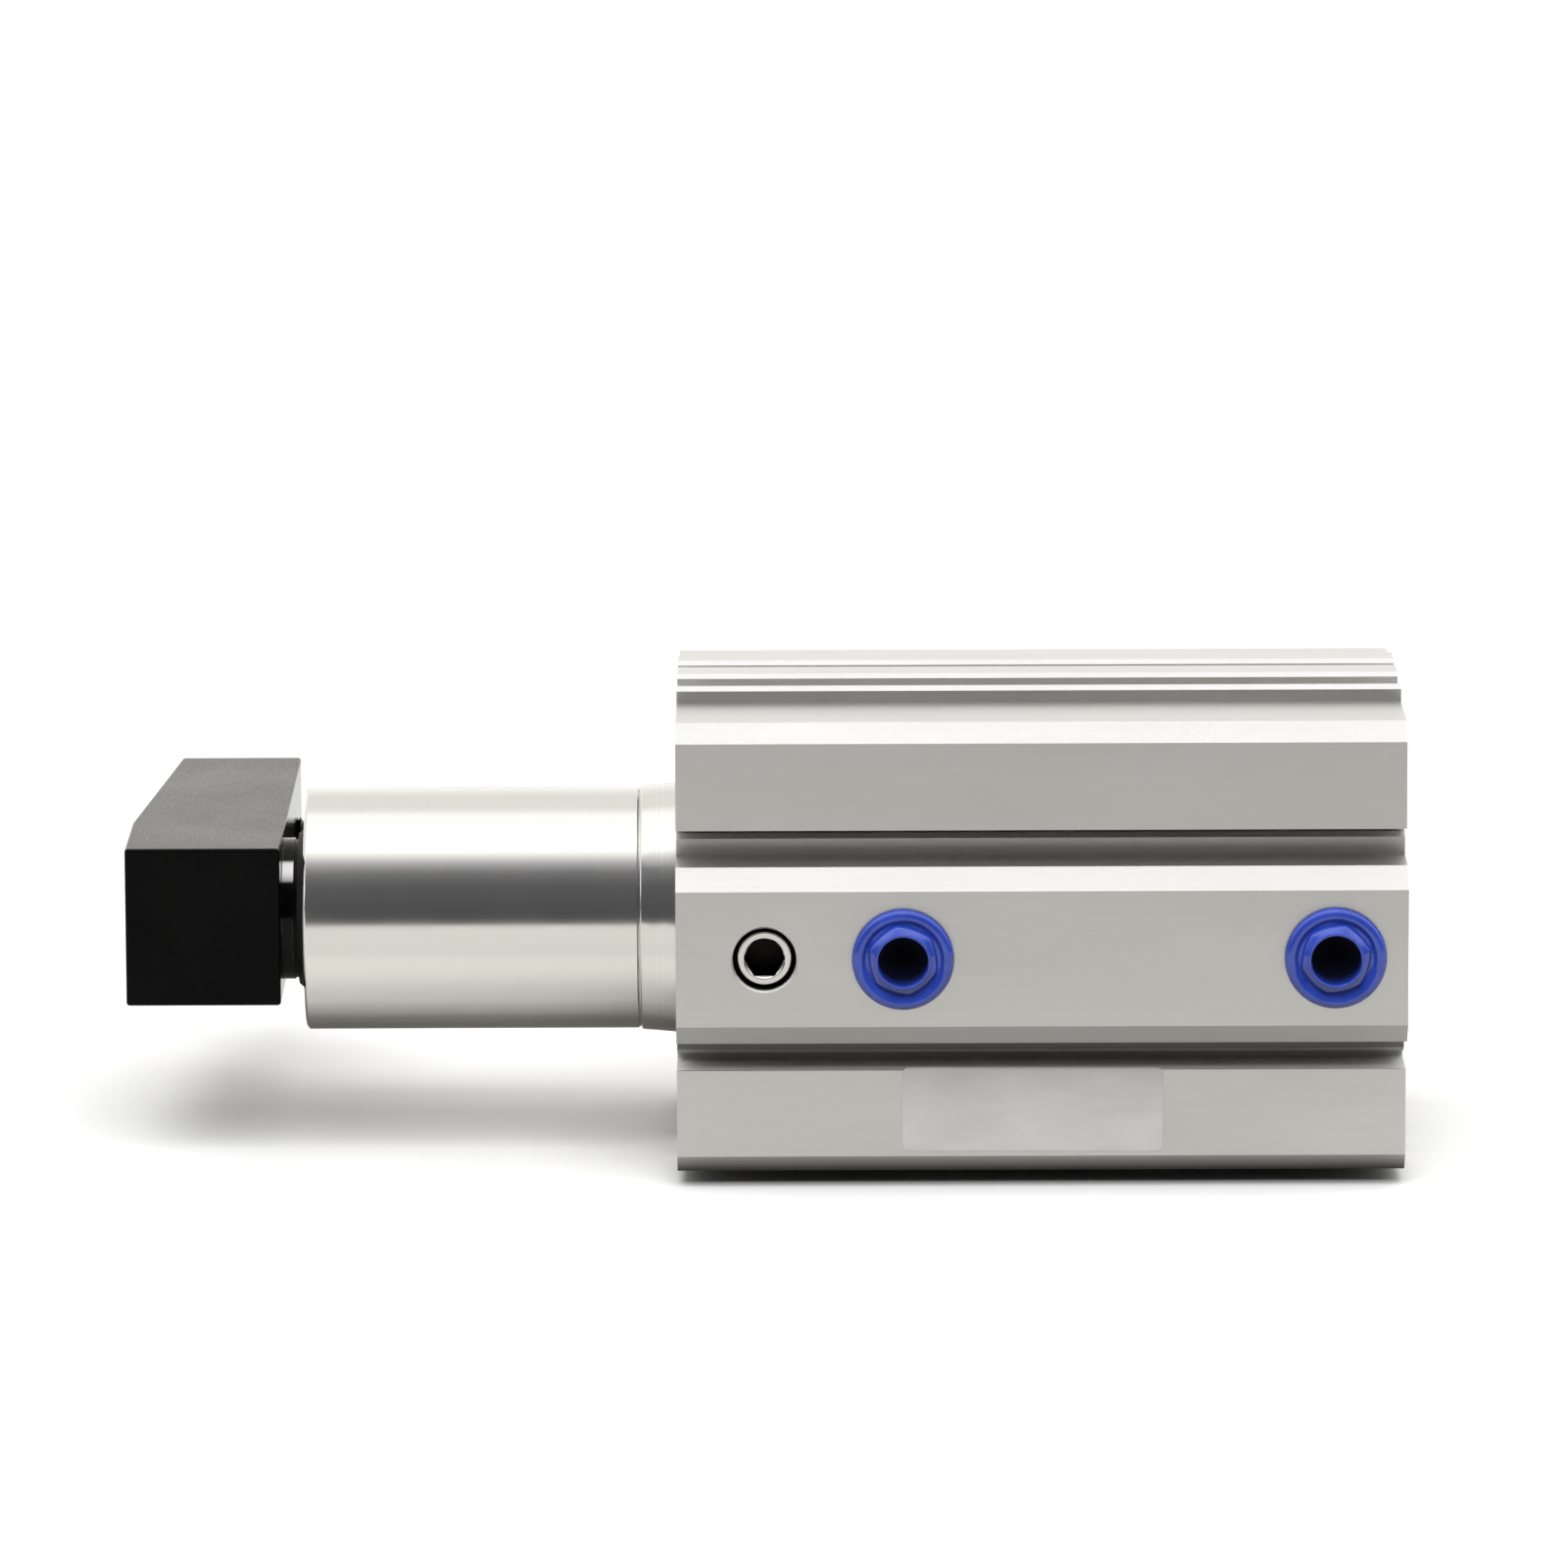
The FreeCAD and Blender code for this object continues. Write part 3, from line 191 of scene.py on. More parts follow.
class Finish(Graph):
    """One procedural material: a Principled shader and the patterns that drive it."""

    def __init__(self, name, metallic=0.0, **sockets):
        self.material = bpy.data.materials.new(name)
        self.material.use_nodes = True
        super().__init__(self.material.node_tree)
        self.shader = self.tree.nodes["Principled BSDF"]
        self.shader.inputs["Metallic"].default_value = metallic
        for socket, value in sockets.items():
            self.shader.inputs[socket.replace("_", " ")].default_value = value
        coordinates = self.node("ShaderNodeTexCoord")
        self.place = coordinates.outputs["Object"]
        self.normal = coordinates.outputs["Normal"]

    def noise(self, size, detail=3.0, roughness=0.55):
        """Noise with blotches of about `size` millimetres, or of three sizes for X, Y and Z."""
        sizes = size if isinstance(size, tuple) else (size,) * 3
        mapping = self.node("ShaderNodeMapping")
        self.join(self.place, mapping.inputs["Vector"])
        mapping.inputs["Scale"].default_value = [1 / (s * MM) for s in sizes]
        texture = self.node("ShaderNodeTexNoise")
        texture.inputs["Scale"].default_value = 1.0
        texture.inputs["Detail"].default_value = detail
        texture.inputs["Roughness"].default_value = roughness
        self.join(mapping.outputs["Vector"], texture.inputs["Vector"])
        return texture.outputs["Fac"]

    def rings(self, along, pitch):
        """One-dimensional noise of about `pitch` millimetres along a value in metres."""
        texture = self.node("ShaderNodeTexNoise", noise_dimensions="1D")
        self.feed(texture.inputs["W"], along)
        texture.inputs["Scale"].default_value = 1 / (pitch * MM)
        texture.inputs["Detail"].default_value = 2.0
        return texture.outputs["Fac"]

    def spread(self, value, low, high, start=0.3, end=0.7):
        """`value` from start..end onto low..high; the defaults suit a noise."""
        made = self.node("ShaderNodeMapRange")
        self.feed(made.inputs["Value"], value)
        made.inputs["From Min"].default_value = start
        made.inputs["From Max"].default_value = end
        made.inputs["To Min"].default_value = low
        made.inputs["To Max"].default_value = high
        return made.outputs["Result"]

    def between(self, value, low, high, soft=0.3):
        """1 where `value` is from low to high millimetres, fading to 0 over `soft` more."""
        above = self.spread(value, 0.0, 1.0, (low - soft) * MM, low * MM)
        below = self.spread(value, 1.0, 0.0, high * MM, (high + soft) * MM)
        return self.math("MULTIPLY", above, below)

    def mix_value(self, amount, first, second):
        """One number that fades into another."""
        made = self.node("ShaderNodeMix", data_type="FLOAT")
        self.feed(made.inputs["Factor"], amount)
        self.feed(made.inputs[2], first)
        self.feed(made.inputs[3], second)
        return made.outputs[0]

    def along(self, axis):
        """The place along X, Y or Z, in metres."""
        return self.part(self.place, axis)

    def from_centre(self, centre):
        return self.vector_math("SUBTRACT", self.place, centre)[0]

    def distance_from(self, centre, keep):
        """Metres from an axis through `centre`; `keep` is 0 along the axis and 1 across it."""
        flat = self.vector_math("MULTIPLY", self.from_centre(centre), keep)[0]
        return self.vector_math("LENGTH", flat)["Value"]

    def distance_from_x_axis(self, centre=(0.0, 0.0, 0.0)):
        return self.distance_from(centre, (0.0, 1.0, 1.0))

    def distance_along(self, centre, way):
        """Metres from a plane through `centre`, square to `way`."""
        far = self.vector_math("DOT_PRODUCT", self.from_centre(centre), way)["Value"]
        return self.math("ABSOLUTE", far)

    def facing_x(self):
        """1 on faces square to the X axis, 0 on the sides, from the mesh's own normal."""
        return self.spread(self.math("ABSOLUTE", self.part(self.normal, "X")), 0.0, 1.0, 0.8, 0.95)

    def facing_down(self):
        """1 on faces that look down, 0 on upright and upper ones, from the mesh's own normal."""
        return self.spread(self.part(self.normal, "Z"), 0.0, 1.0, -0.6, -0.68)

    def open_sky(self, reach):
        """1 on open faces, 0 in crevices narrower than about `reach` millimetres."""
        shade = self.node("ShaderNodeAmbientOcclusion", samples=8)
        shade.inputs["Distance"].default_value = reach * MM
        return shade.outputs["AO"]

    def edges(self, radius):
        """1 along edges that a rounding of `radius` millimetres would reach, 0 on flat faces."""
        rounded = self.node("ShaderNodeBevel", samples=4)
        rounded.inputs["Radius"].default_value = radius * MM
        plain = self.node("ShaderNodeNewGeometry")
        match = self.vector_math("DOT_PRODUCT", rounded.outputs["Normal"], plain.outputs["Normal"])
        return self.spread(match["Value"], 1.0, 0.0, 0.82, 0.98)

    def bump(self, height, depth, under=None):
        """Bump of `depth` millimetres from a 0..1 height."""
        made = self.node("ShaderNodeBump")
        made.inputs["Distance"].default_value = depth * MM
        made.inputs["Strength"].default_value = 1.0
        self.feed(made.inputs["Height"], height)
        if under:
            self.join(under, made.inputs["Normal"])
        return made.outputs["Normal"]

    def finish(self, colour, roughness, normal=None):
        self.join(colour, self.shader.inputs["Base Color"])
        self.feed(self.shader.inputs["Roughness"], roughness)
        if normal:
            self.join(normal, self.shader.inputs["Normal"])
        return self.material


def anodised_extrusion():
    """Matt clear-anodised aluminium: etched grain, faint drawn lines along X, fly-cut end faces.

    Crevices and undersides get painted shade; the lower gutter has dust, with painted shade under
    the ridge; and painted shade darkens the bottom edge.
    """
    f = Finish("anodised_extrusion", metallic=1.0)
    lines = f.noise((70.0, 0.5, 0.5))
    grain = f.noise(0.2)
    cloud = f.noise((26.0, 8.0, 8.0))
    cut = f.facing_x()
    tool_marks = f.rings(f.distance_from_x_axis(FLY_CUTTER_CENTRE * MM), 0.45)
    tone = f.math("ADD", f.math("MULTIPLY", lines, 0.35), f.math("MULTIPLY", cloud, 0.65))
    colour = f.blend(f.spread(tone, 0.0, 1.0), (0.74, 0.735, 0.712), (0.80, 0.795, 0.778))
    colour = f.blend(f.math("MULTIPLY", f.edges(0.25), 0.7), colour, (0.87, 0.865, 0.85))
    # Painted shade in crevices narrower than about 3 mm.
    open_face = f.spread(f.open_sky(3.0), 0.0, 1.0, 0.04, 0.3)
    colour = f.blend(open_face, (0.10, 0.097, 0.092), colour)
    # Painted shade on faces that look down.
    colour = f.blend(f.math("MULTIPLY", f.facing_down(), 0.6), colour, (0.2, 0.197, 0.19))
    height = f.along("Z")
    gutter = f.math("MULTIPLY", f.between(height, *LOWER_GUTTER_Z),
                    f.between(f.along("Y"), *LOWER_GUTTER_Y))
    dust = f.math("MULTIPLY", gutter, f.spread(height, 1.0, 0.0, DUST_FULL * MM, DUST_NONE * MM))
    # Dust low in the lower gutter; near the ridge a darker metal, painted shade under the ridge.
    dust_and_shade = f.blend(dust, (0.31, 0.305, 0.295), (0.62, 0.615, 0.585))
    colour = f.blend(gutter, colour, dust_and_shade)
    f.feed(f.shader.inputs["Metallic"], f.math("SUBTRACT", 1.0, dust))
    # Painted shade: darker towards the bottom edge, but not on the end faces.
    painted_base_shade = f.spread(height, 0.9, 0.0, BASE_SHADE_FULL * MM, BASE_SHADE_NONE * MM)
    painted_base_shade = f.math("MULTIPLY", painted_base_shade, f.math("SUBTRACT", 1.0, cut))
    colour = f.blend(painted_base_shade, colour, (0.045, 0.043, 0.041))
    side_rough = f.mix_value(gutter, f.spread(grain, 0.36, 0.5), 0.75)
    cut_rough = f.spread(tool_marks, 0.26, 0.36)
    relief = f.bump(f.mix_value(cut, lines, tool_marks), 0.002)
    return f.finish(colour, f.mix_value(cut, side_rough, cut_rough), f.bump(grain, 0.006, relief))


def turned_aluminium():
    """Bright aluminium off the lathe: fine feed rings about the axis, coarser on the collar."""
    f = Finish("turned_aluminium", metallic=1.0)
    face = f.facing_x()
    run = f.mix_value(face, f.along("X"), f.distance_from_x_axis())
    fine = f.rings(run, 0.09)
    coarse = f.rings(run, 0.5)
    smear = f.noise((9.0, 16.0, 16.0))
    collar = f.spread(f.along("X"), 0.0, 1.0, NOSE_COLLAR_START * MM, NOSE_COLLAR_END * MM)
    marks = f.mix_value(f.spread(collar, 0.15, 1.0, 0.0, 1.0), 0.5, coarse)
    colour = f.blend(f.spread(marks, 0.0, 1.0), (0.75, 0.738, 0.702), (0.81, 0.80, 0.775))
    rough = f.math("ADD", f.spread(fine, 0.10, 0.16), f.spread(smear, 0.0, 0.05))
    return f.finish(colour, rough, f.bump(fine, 0.0008, f.bump(marks, 0.0012)))


def chrome():
    """Hard-chromed, ground rod; next to the arm's boss a band is painted near black as shade."""
    f = Finish("hard_chrome", metallic=1.0)
    fine = f.rings(f.along("X"), 0.06)
    smear = f.noise((20.0, 3.0, 3.0))
    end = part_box("clamp_arm")[1].x + ROD_SHADE_BAND * MM
    relief = f.spread(f.along("X"), 1.0, 0.0, end, end + 0.05 * MM)
    colour = f.blend(f.spread(smear, 0.0, 1.0), (0.60, 0.61, 0.63), (0.70, 0.71, 0.72))
    # Painted shade: the rod is near black next to the arm's boss, where the gap is in shade.
    colour = f.blend(relief, colour, (0.012, 0.012, 0.012))
    rough = f.mix_value(relief, f.spread(fine, 0.05, 0.11), 0.4)
    return f.finish(colour, rough, f.bump(fine, 0.0004))


def black_arm():
    """Satin black over a milled steel arm, rubbed a little along its edges.

    The turned boss is smoother, with one painted highlight, a bright patch, on its near side.
    """
    f = Finish("satin_black", metallic=1.0)
    grain = f.noise(0.25, detail=4.0)
    cloud = f.noise(12.0)
    milled = f.facing_x()
    boss_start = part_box("clamp_arm")[1].x - BOSS_HEIGHT * MM
    boss = f.spread(f.along("X"), 0.0, 1.0, boss_start + 0.02 * MM, boss_start + 0.08 * MM)
    rubbed = f.spread(f.noise(1.4, detail=4.0), 0.0, 1.0, 0.42, 0.6)
    worn = f.math("MULTIPLY", f.edges(0.18), rubbed)
    near = f.spread(f.along("Y"), 1.0, 0.0, BOSS_HIGHLIGHT_Y * MM, (BOSS_HIGHLIGHT_Y + 0.2) * MM)
    bright = f.math("MULTIPLY", f.between(f.along("Z"), *BOSS_HIGHLIGHT_Z), near)
    colour = f.blend(f.spread(cloud, 0.0, 1.0), (0.0068, 0.0068, 0.007), (0.0098, 0.0098, 0.01))
    colour = f.blend(boss, colour, (0.012, 0.012, 0.013))
    # Painted highlight: a bright patch on the boss's near side.
    colour = f.blend(f.math("MULTIPLY", boss, bright), colour, (0.5, 0.49, 0.48))
    colour = f.blend(worn, colour, (0.2, 0.195, 0.19))
    rough = f.math("ADD", f.spread(grain, 0.17, 0.33), f.spread(cloud, 0.0, 0.05))
    rough = f.mix_value(boss, f.mix_value(milled, rough, 0.16), 0.14)
    return f.finish(colour, rough, f.bump(grain, 0.003))


def dark_steel():
    """Black-oxide fasteners with a slightly oily sheen."""
    f = Finish("black_oxide", metallic=1.0)
    grain = f.noise(0.3, detail=4.0)
    cloud = f.noise(3.0)
    colour = f.blend(f.spread(cloud, 0.0, 1.0), (0.028, 0.028, 0.03), (0.06, 0.058, 0.056))
    return f.finish(colour, f.spread(grain, 0.3, 0.45), f.bump(grain, 0.005))


def bright_steel(name, low, high, rough):
    """Plated or bare steel with a fine, slightly streaked surface."""
    f = Finish(name, metallic=1.0)
    grain = f.noise(0.12)
    cloud = f.noise(2.0)
    colour = f.blend(f.spread(cloud, 0.0, 1.0), low, high)
    return f.finish(colour, f.spread(grain, rough - 0.05, rough + 0.07), f.bump(grain, 0.0015))


def rubber():
    """Black nitrile with a dusty bloom."""
    f = Finish("seal_rubber", Specular_IOR_Level=0.4)
    grain = f.noise(0.15)
    bloom = f.noise(2.5, detail=4.0)
    colour = f.blend(f.spread(bloom, 0.0, 1.0), (0.012, 0.012, 0.012), (0.026, 0.026, 0.027))
    return f.finish(colour, f.spread(bloom, 0.5, 0.68), f.bump(grain, 0.004))


def bronze():
    """Sintered bronze: warm metal with open pores."""
    f = Finish("sintered_bronze", metallic=1.0)
    pores = f.noise(0.2, detail=4.0, roughness=0.7)
    colour = f.blend(f.spread(pores, 0.0, 1.0), (0.30, 0.18, 0.08), (0.55, 0.37, 0.19))
    return f.finish(colour, f.spread(pores, 0.32, 0.5), f.bump(pores, 0.006))


def ring_plastic():
    """Filled PTFE strip, mottled grey-brown."""
    f = Finish("filled_plastic")
    mottle = f.noise(0.6, detail=4.0)
    colour = f.blend(f.spread(mottle, 0.0, 1.0), (0.10, 0.075, 0.05), (0.16, 0.12, 0.085))
    return f.finish(colour, f.spread(mottle, 0.4, 0.55), f.bump(mottle, 0.003))


def magnet():
    """Rubber-bonded ferrite: dark grey with metallic specks."""
    f = Finish("bonded_ferrite", metallic=0.3)
    specks = f.noise(0.1, roughness=0.7)
    colour = f.blend(f.spread(specks, 0.0, 1.0), (0.03, 0.03, 0.033), (0.075, 0.075, 0.08))
    return f.finish(colour, f.spread(specks, 0.4, 0.6), f.bump(specks, 0.004))


def blue_plastic():
    """Injection-moulded polyethylene in royal blue, a little waxy; painted shade darkens its blind
    hole.
    """
    f = Finish("blue_plastic", Specular_IOR_Level=0.85, Subsurface_Weight=0.08,
               Subsurface_Scale=0.8 * MM, Subsurface_Radius=(0.2, 0.35, 1.0))
    flow = f.noise((2.2, 5.0, 2.2))
    grain = f.noise(0.14)
    colour = f.blend(f.spread(flow, 0.0, 1.0), (0.016, 0.043, 0.33), (0.026, 0.063, 0.43))
    rough = f.spread(grain, 0.09, 0.15)
    for plug in ("front_port_plug", "rear_port_plug"):
        low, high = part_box(plug)
        axis = ((low.x + high.x) / 2, 0.0, (low.z + high.z) / 2)
        radius = f.distance_from(axis, (1.0, 0.0, 1.0))
        inside = f.spread(radius, 1.0, 0.0, (PLUG_HOLE - 0.06) * MM, (PLUG_HOLE + 0.06) * MM)
        deep = f.spread(f.along("Y"), 0.0, 1.0, low.y + 0.05 * MM, low.y + 1.2 * MM)
        # Painted shade: the blind hole is near black from a little inside its mouth.
        hole = f.math("MULTIPLY", inside, deep)
        colour = f.blend(hole, colour, (0.004, 0.005, 0.018))
        rough = f.mix_value(hole, rough, 0.6)
    return f.finish(colour, rough, f.bump(grain, 0.0012))


def label_vinyl():
    """Silver-white satin vinyl with a fine leathery grain, a little yellowed."""
    f = Finish("label_vinyl", metallic=0.15, Specular_IOR_Level=0.45)
    grain = f.noise(0.12)
    cloud = f.noise((7.0, 3.0, 3.0))
    colour = f.blend(f.spread(cloud, 0.0, 1.0), (0.6, 0.59, 0.565), (0.67, 0.665, 0.65))
    return f.finish(colour, f.spread(grain, 0.36, 0.5), f.bump(grain, 0.003))


def guide_steel():
    """Plated socket screw: bright rim; painted shade darkens the socket and the start of the
    thread.
    """
    f = Finish("socket_screw_steel", metallic=1.0)
    grain = f.noise(0.12)
    low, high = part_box("guide_screw")
    centre = ((low.x + high.x) / 2, 0.0, 0.0)
    radius = f.distance_from(centre, (1.0, 0.0, 1.0))
    depth = f.spread(f.along("Y"), 0.0, 1.0, low.y + 0.1 * MM, low.y + 0.3 * MM)
    reach = 0.0
    for turn in (90, 30, 150):
        way = (math.cos(math.radians(turn)), 0.0, math.sin(math.radians(turn)))
        reach = f.math("MAXIMUM", reach, f.distance_along(centre, way))
    hexagon = f.spread(reach, 1.0, 0.0, SOCKET_HALF_FLATS * MM, (SOCKET_HALF_FLATS + 0.08) * MM)
    socket = f.math("MULTIPLY", hexagon, depth)
    thread = f.spread(radius, 0.0, 1.0, GUIDE_RIM * MM, (GUIDE_RIM + 0.08) * MM)
    # Painted shade: near black in the hex socket and round the rim where the thread starts.
    dark = f.math("MAXIMUM", socket, thread)
    bright = f.blend(f.spread(grain, 0.0, 1.0), (0.66, 0.645, 0.62), (0.80, 0.78, 0.76))
    colour = f.blend(dark, bright, (0.014, 0.012, 0.011))
    rough = f.mix_value(dark, f.spread(grain, 0.12, 0.2), 0.42)
    return f.finish(colour, rough, f.bump(grain, 0.0012))


# One finish for each material slot of the CAD, one node's own finish, and the label's.
finishes = {
    "body_aluminium": anodised_extrusion(),
    "turned_aluminium": turned_aluminium(),
    "rod_chrome": chrome(),
    "black_arm": black_arm(),
    "black_steel": dark_steel(),
    "screw_steel": bright_steel("plated_steel", (0.52, 0.51, 0.49), (0.66, 0.65, 0.63), 0.2),
    "spring_steel": bright_steel("spring_steel", (0.24, 0.235, 0.23), (0.36, 0.35, 0.34), 0.32),
    "seal_rubber": rubber(),
    "bronze": bronze(),
    "ring_plastic": ring_plastic(),
    "magnet": magnet(),
    "blue_plastic": blue_plastic(),
}
node_finishes = {"guide_screw": guide_steel()}
label_finish = label_vinyl()


def smooth_by_angle():
    """A geometry-node group: drops the imported normals, shades smooth up to SMOOTH_DEGREES."""
    group = bpy.data.node_groups.new("smooth_by_angle", "GeometryNodeTree")
    group.interface.new_socket("Geometry", in_out="INPUT", socket_type="NodeSocketGeometry")
    group.interface.new_socket("Geometry", in_out="OUTPUT", socket_type="NodeSocketGeometry")
    start, end = group.nodes.new("NodeGroupInput"), group.nodes.new("NodeGroupOutput")
    drop = group.nodes.new("GeometryNodeRemoveAttribute")
    drop.inputs["Name"].default_value = "custom_normal"
    faces = group.nodes.new("GeometryNodeSetShadeSmooth")
    faces.domain = "FACE"
    edges = group.nodes.new("GeometryNodeSetShadeSmooth")
    edges.domain = "EDGE"
    angle = group.nodes.new("GeometryNodeInputMeshEdgeAngle")
    below = group.nodes.new("FunctionNodeCompare")
    below.data_type, below.operation = "FLOAT", "LESS_THAN"
    below.inputs[1].default_value = math.radians(SMOOTH_DEGREES)
    link = group.links.new
    link(start.outputs[0], drop.inputs["Geometry"])
    link(drop.outputs["Geometry"], faces.inputs["Geometry"])
    link(faces.outputs["Geometry"], edges.inputs["Geometry"])
    link(angle.outputs["Unsigned Angle"], below.inputs[0])
    link(below.outputs[0], edges.inputs["Shade Smooth"])
    link(edges.outputs["Geometry"], end.inputs[0])
    return group


shading = smooth_by_angle()


def break_edges(node, width):
    """Sharp CAD edges get a small rounded break, so that they catch the light."""
    weld = node.modifiers.new("join_faces", "WELD")
    weld.merge_threshold = JOIN_FACES * MM
    flat = node.modifiers.new("flat_faces", "DECIMATE")
    flat.decimate_type, flat.angle_limit = "DISSOLVE", math.radians(FLAT_DEGREES)
    edge = node.modifiers.new("edge_break", "BEVEL")
    edge.limit_method, edge.angle_limit = "ANGLE", math.radians(BREAK_DEGREES)
    edge.width, edge.segments = width * MM, 2
    edge.use_clamp_overlap = True
    edge.miter_outer = "MITER_ARC"
    clean = node.modifiers.new("join_slivers", "WELD")
    clean.merge_threshold = JOIN_SLIVERS * MM
    even = node.modifiers.new("shading", "NODES")
    even.node_group = shading
    normals = node.modifiers.new("face_normals", "WEIGHTED_NORMAL")
    normals.keep_sharp = True


# Width of each node's edge break, in millimetres.
EDGE_BREAKS = {
    "cylinder_body": 0.18,
    "front_cover": 0.05,
    "clamp_arm": 0.12,
    "guide_screw": 0.12,
    "arm_bolt": 0.2,
    "back_cover": 0.15,
    "front_snap_ring": 0.12,
    "back_snap_ring": 0.12,
}

for name, node in nodes.items():
    slot = node.data.materials[0].name
    node.material_slots[0].material = node_finishes.get(name, finishes[slot])
    if name in EDGE_BREAKS:
        break_edges(node, EDGE_BREAKS[name])


def add(obj):
    bpy.context.scene.collection.objects.link(obj)
    return obj


def piece(name, mesh, body, finish):
    """A finished mesh becomes an object that moves with a CAD body."""
    bmesh.ops.recalc_face_normals(mesh, faces=mesh.faces)
    data = bpy.data.meshes.new(name)
    mesh.to_mesh(data)
    mesh.free()
    data.materials.append(finish)
    made = add(bpy.data.objects.new(name, data))
    even = made.modifiers.new("shading", "NODES")
    even.node_group = shading
    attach(made, body)
    return made


def close(mesh, loops):
    """Faces between neighbouring loops of points, and one face over each end."""
    for low, high in zip(loops, loops[1:]):
        for i in range(len(low)):
            j = (i + 1) % len(low)
            mesh.faces.new((low[i], low[j], high[j], high[i]))
    mesh.faces.new(loops[0][::-1])
    mesh.faces.new(loops[-1])


def turned(rings, count, turn, place):
    """A closed surface through rings; each gives radius and height, in millimetres, at an angle."""
    mesh = bmesh.new()
    loops = []
    for ring in rings:
        loop = []
        for step in range(count):
            angle = 2 * math.pi * step / count
            radius, height = ring(angle)
            point = Vector((radius * math.cos(angle), radius * math.sin(angle), height)) * MM
            loop.append(mesh.verts.new(place + turn @ point))
        loops.append(loop)
    close(mesh, loops)
    return mesh


def even_ring(radius, height):
    """A round ring, the same at every angle."""
    return lambda angle: (radius, height)


def hexagon_radius(flat, angle):
    """Distance from the middle to the side of a hexagon with a corner at angle 0."""
    return flat / 2 / math.cos((angle % (math.pi / 3)) - math.pi / 6)


def rounded(corner, radius, start, end, steps):
    """Rings round an edge: `corner` is the arc's middle, the angles are in degrees."""
    for step in range(steps + 1):
        turn = math.radians(start + (end - start) * step / steps)
        yield even_ring(corner[0] + radius * math.cos(turn), corner[1] + radius * math.sin(turn))


def add_label():
    """A blank sticker on the lower corner block, its top edge bent over the block's edge."""
    bend = GUTTER_EDGE - 0.05
    corners = [
        (LABEL_LEFT + LABEL_CORNER, LABEL_BOTTOM + LABEL_CORNER, 180),
        (LABEL_RIGHT - LABEL_CORNER, LABEL_BOTTOM + LABEL_CORNER, 270),
        (LABEL_RIGHT - LABEL_CORNER, LABEL_TOP - LABEL_CORNER, 0),
        (LABEL_LEFT + LABEL_CORNER, LABEL_TOP - LABEL_CORNER, 90),
    ]
    mesh = bmesh.new()
    loops = []
    for height, inset in LABEL_LAYERS:
        loop = []
        reach = LABEL_CORNER - inset
        for x, z, start in corners:
            for step in range(LABEL_CORNER_STEPS + 1):
                turn = math.radians(start + 90 * step / LABEL_CORNER_STEPS)
                across, up = x + reach * math.cos(turn), z + reach * math.sin(turn)
                loop.append(mesh.verts.new(Vector((across, BLOCK_FACE - height, up)) * MM))
        loops.append(loop)
    close(mesh, loops)
    for rise in LABEL_FOLDS:
        parts = mesh.verts[:] + mesh.edges[:] + mesh.faces[:]
        fold = Vector((0.0, 0.0, bend + rise)) * MM
        bmesh.ops.bisect_plane(mesh, geom=parts, plane_co=fold, plane_no=(0.0, 0.0, 1.0))
    for vert in mesh.verts:
        over = max(0.0, vert.co.z / MM - bend)
        vert.co.y += over * over * LABEL_CURL * MM
    tilt = Matrix.Rotation(math.radians(LABEL_TILT), 3, "Y")
    middle = Vector(((LABEL_LEFT + LABEL_RIGHT) / 2, BLOCK_FACE, LABEL_TOP)) * MM
    bmesh.ops.rotate(mesh, verts=mesh.verts, cent=middle, matrix=tilt)
    piece("blank_label", mesh, "cylinder", label_finish)


def add_plug(node, body, turned_by):
    """A transit plug: round flange, collar that goes from a hexagon to a round rim, blind hole."""
    low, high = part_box(node)
    flange = (high.x - low.x) / 2 / MM
    length = (high.y - low.y) / MM
    face = length - PLUG_COLLAR
    seat = face - PLUG_FLANGE
    shank = PORT_RADIUS - PLUG_PLAY
    root = shank - PLUG_GROOVE_DEPTH
    sway = math.radians(turned_by) + math.pi / 6

    def collar(blend, height):
        def ring(angle):
            corners = hexagon_radius(PLUG_HEXAGON, angle + sway) - PLUG_ROUND
            hexagon = PLUG_ROUND + corners * PLUG_HEXAGON_SHARE
            return (hexagon + (PLUG_RIM - hexagon) * blend, height)
        return ring

    rings = [even_ring(0.4, 0.0), even_ring(shank - 0.5, 0.0), even_ring(shank - 0.08, 0.42),
             even_ring(shank, 0.6)]
    for groove in PLUG_GROOVES:
        rings += [even_ring(shank, groove), even_ring(root, groove + 0.12),
                  even_ring(root, groove + 0.34), even_ring(shank, groove + 0.46)]
    rings.append(even_ring(shank, seat))
    # The flange's lower edge, its crowned face down to a groove, the collar, its rim, the hole.
    rings += rounded((flange - 0.2, seat + 0.2), 0.2, -90, 0, 3)
    rings += rounded((flange - 0.8, face - 0.8), 0.8, 115 / 9, 115, 8)
    rings += [even_ring(4.45, face - 0.32), even_ring(4.22, face - 0.45),
              collar(0.0, face - 0.48), collar(0.05, face - 0.2), collar(0.16, face),
              collar(0.34, face + 0.14), collar(0.9, face + 0.5)]
    rings += rounded((PLUG_RIM - 0.1, face + 0.72), 0.18, -10, 170, 7)
    rings += [even_ring(PLUG_HOLE + 0.04, face + 0.62), even_ring(PLUG_HOLE, face + 0.4),
              even_ring(PLUG_HOLE - 0.04, 4.2), even_ring(0.03, 0.6)]
    turn = Matrix.Rotation(math.pi / 2, 3, "X")
    place = Vector(((low.x + high.x) / 2, high.y, 0.0))
    mesh = turned(rings, PLUG_STEPS, turn, place)
    made = piece(node + "_moulded", mesh, body, finishes["blue_plastic"])
    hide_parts(node)


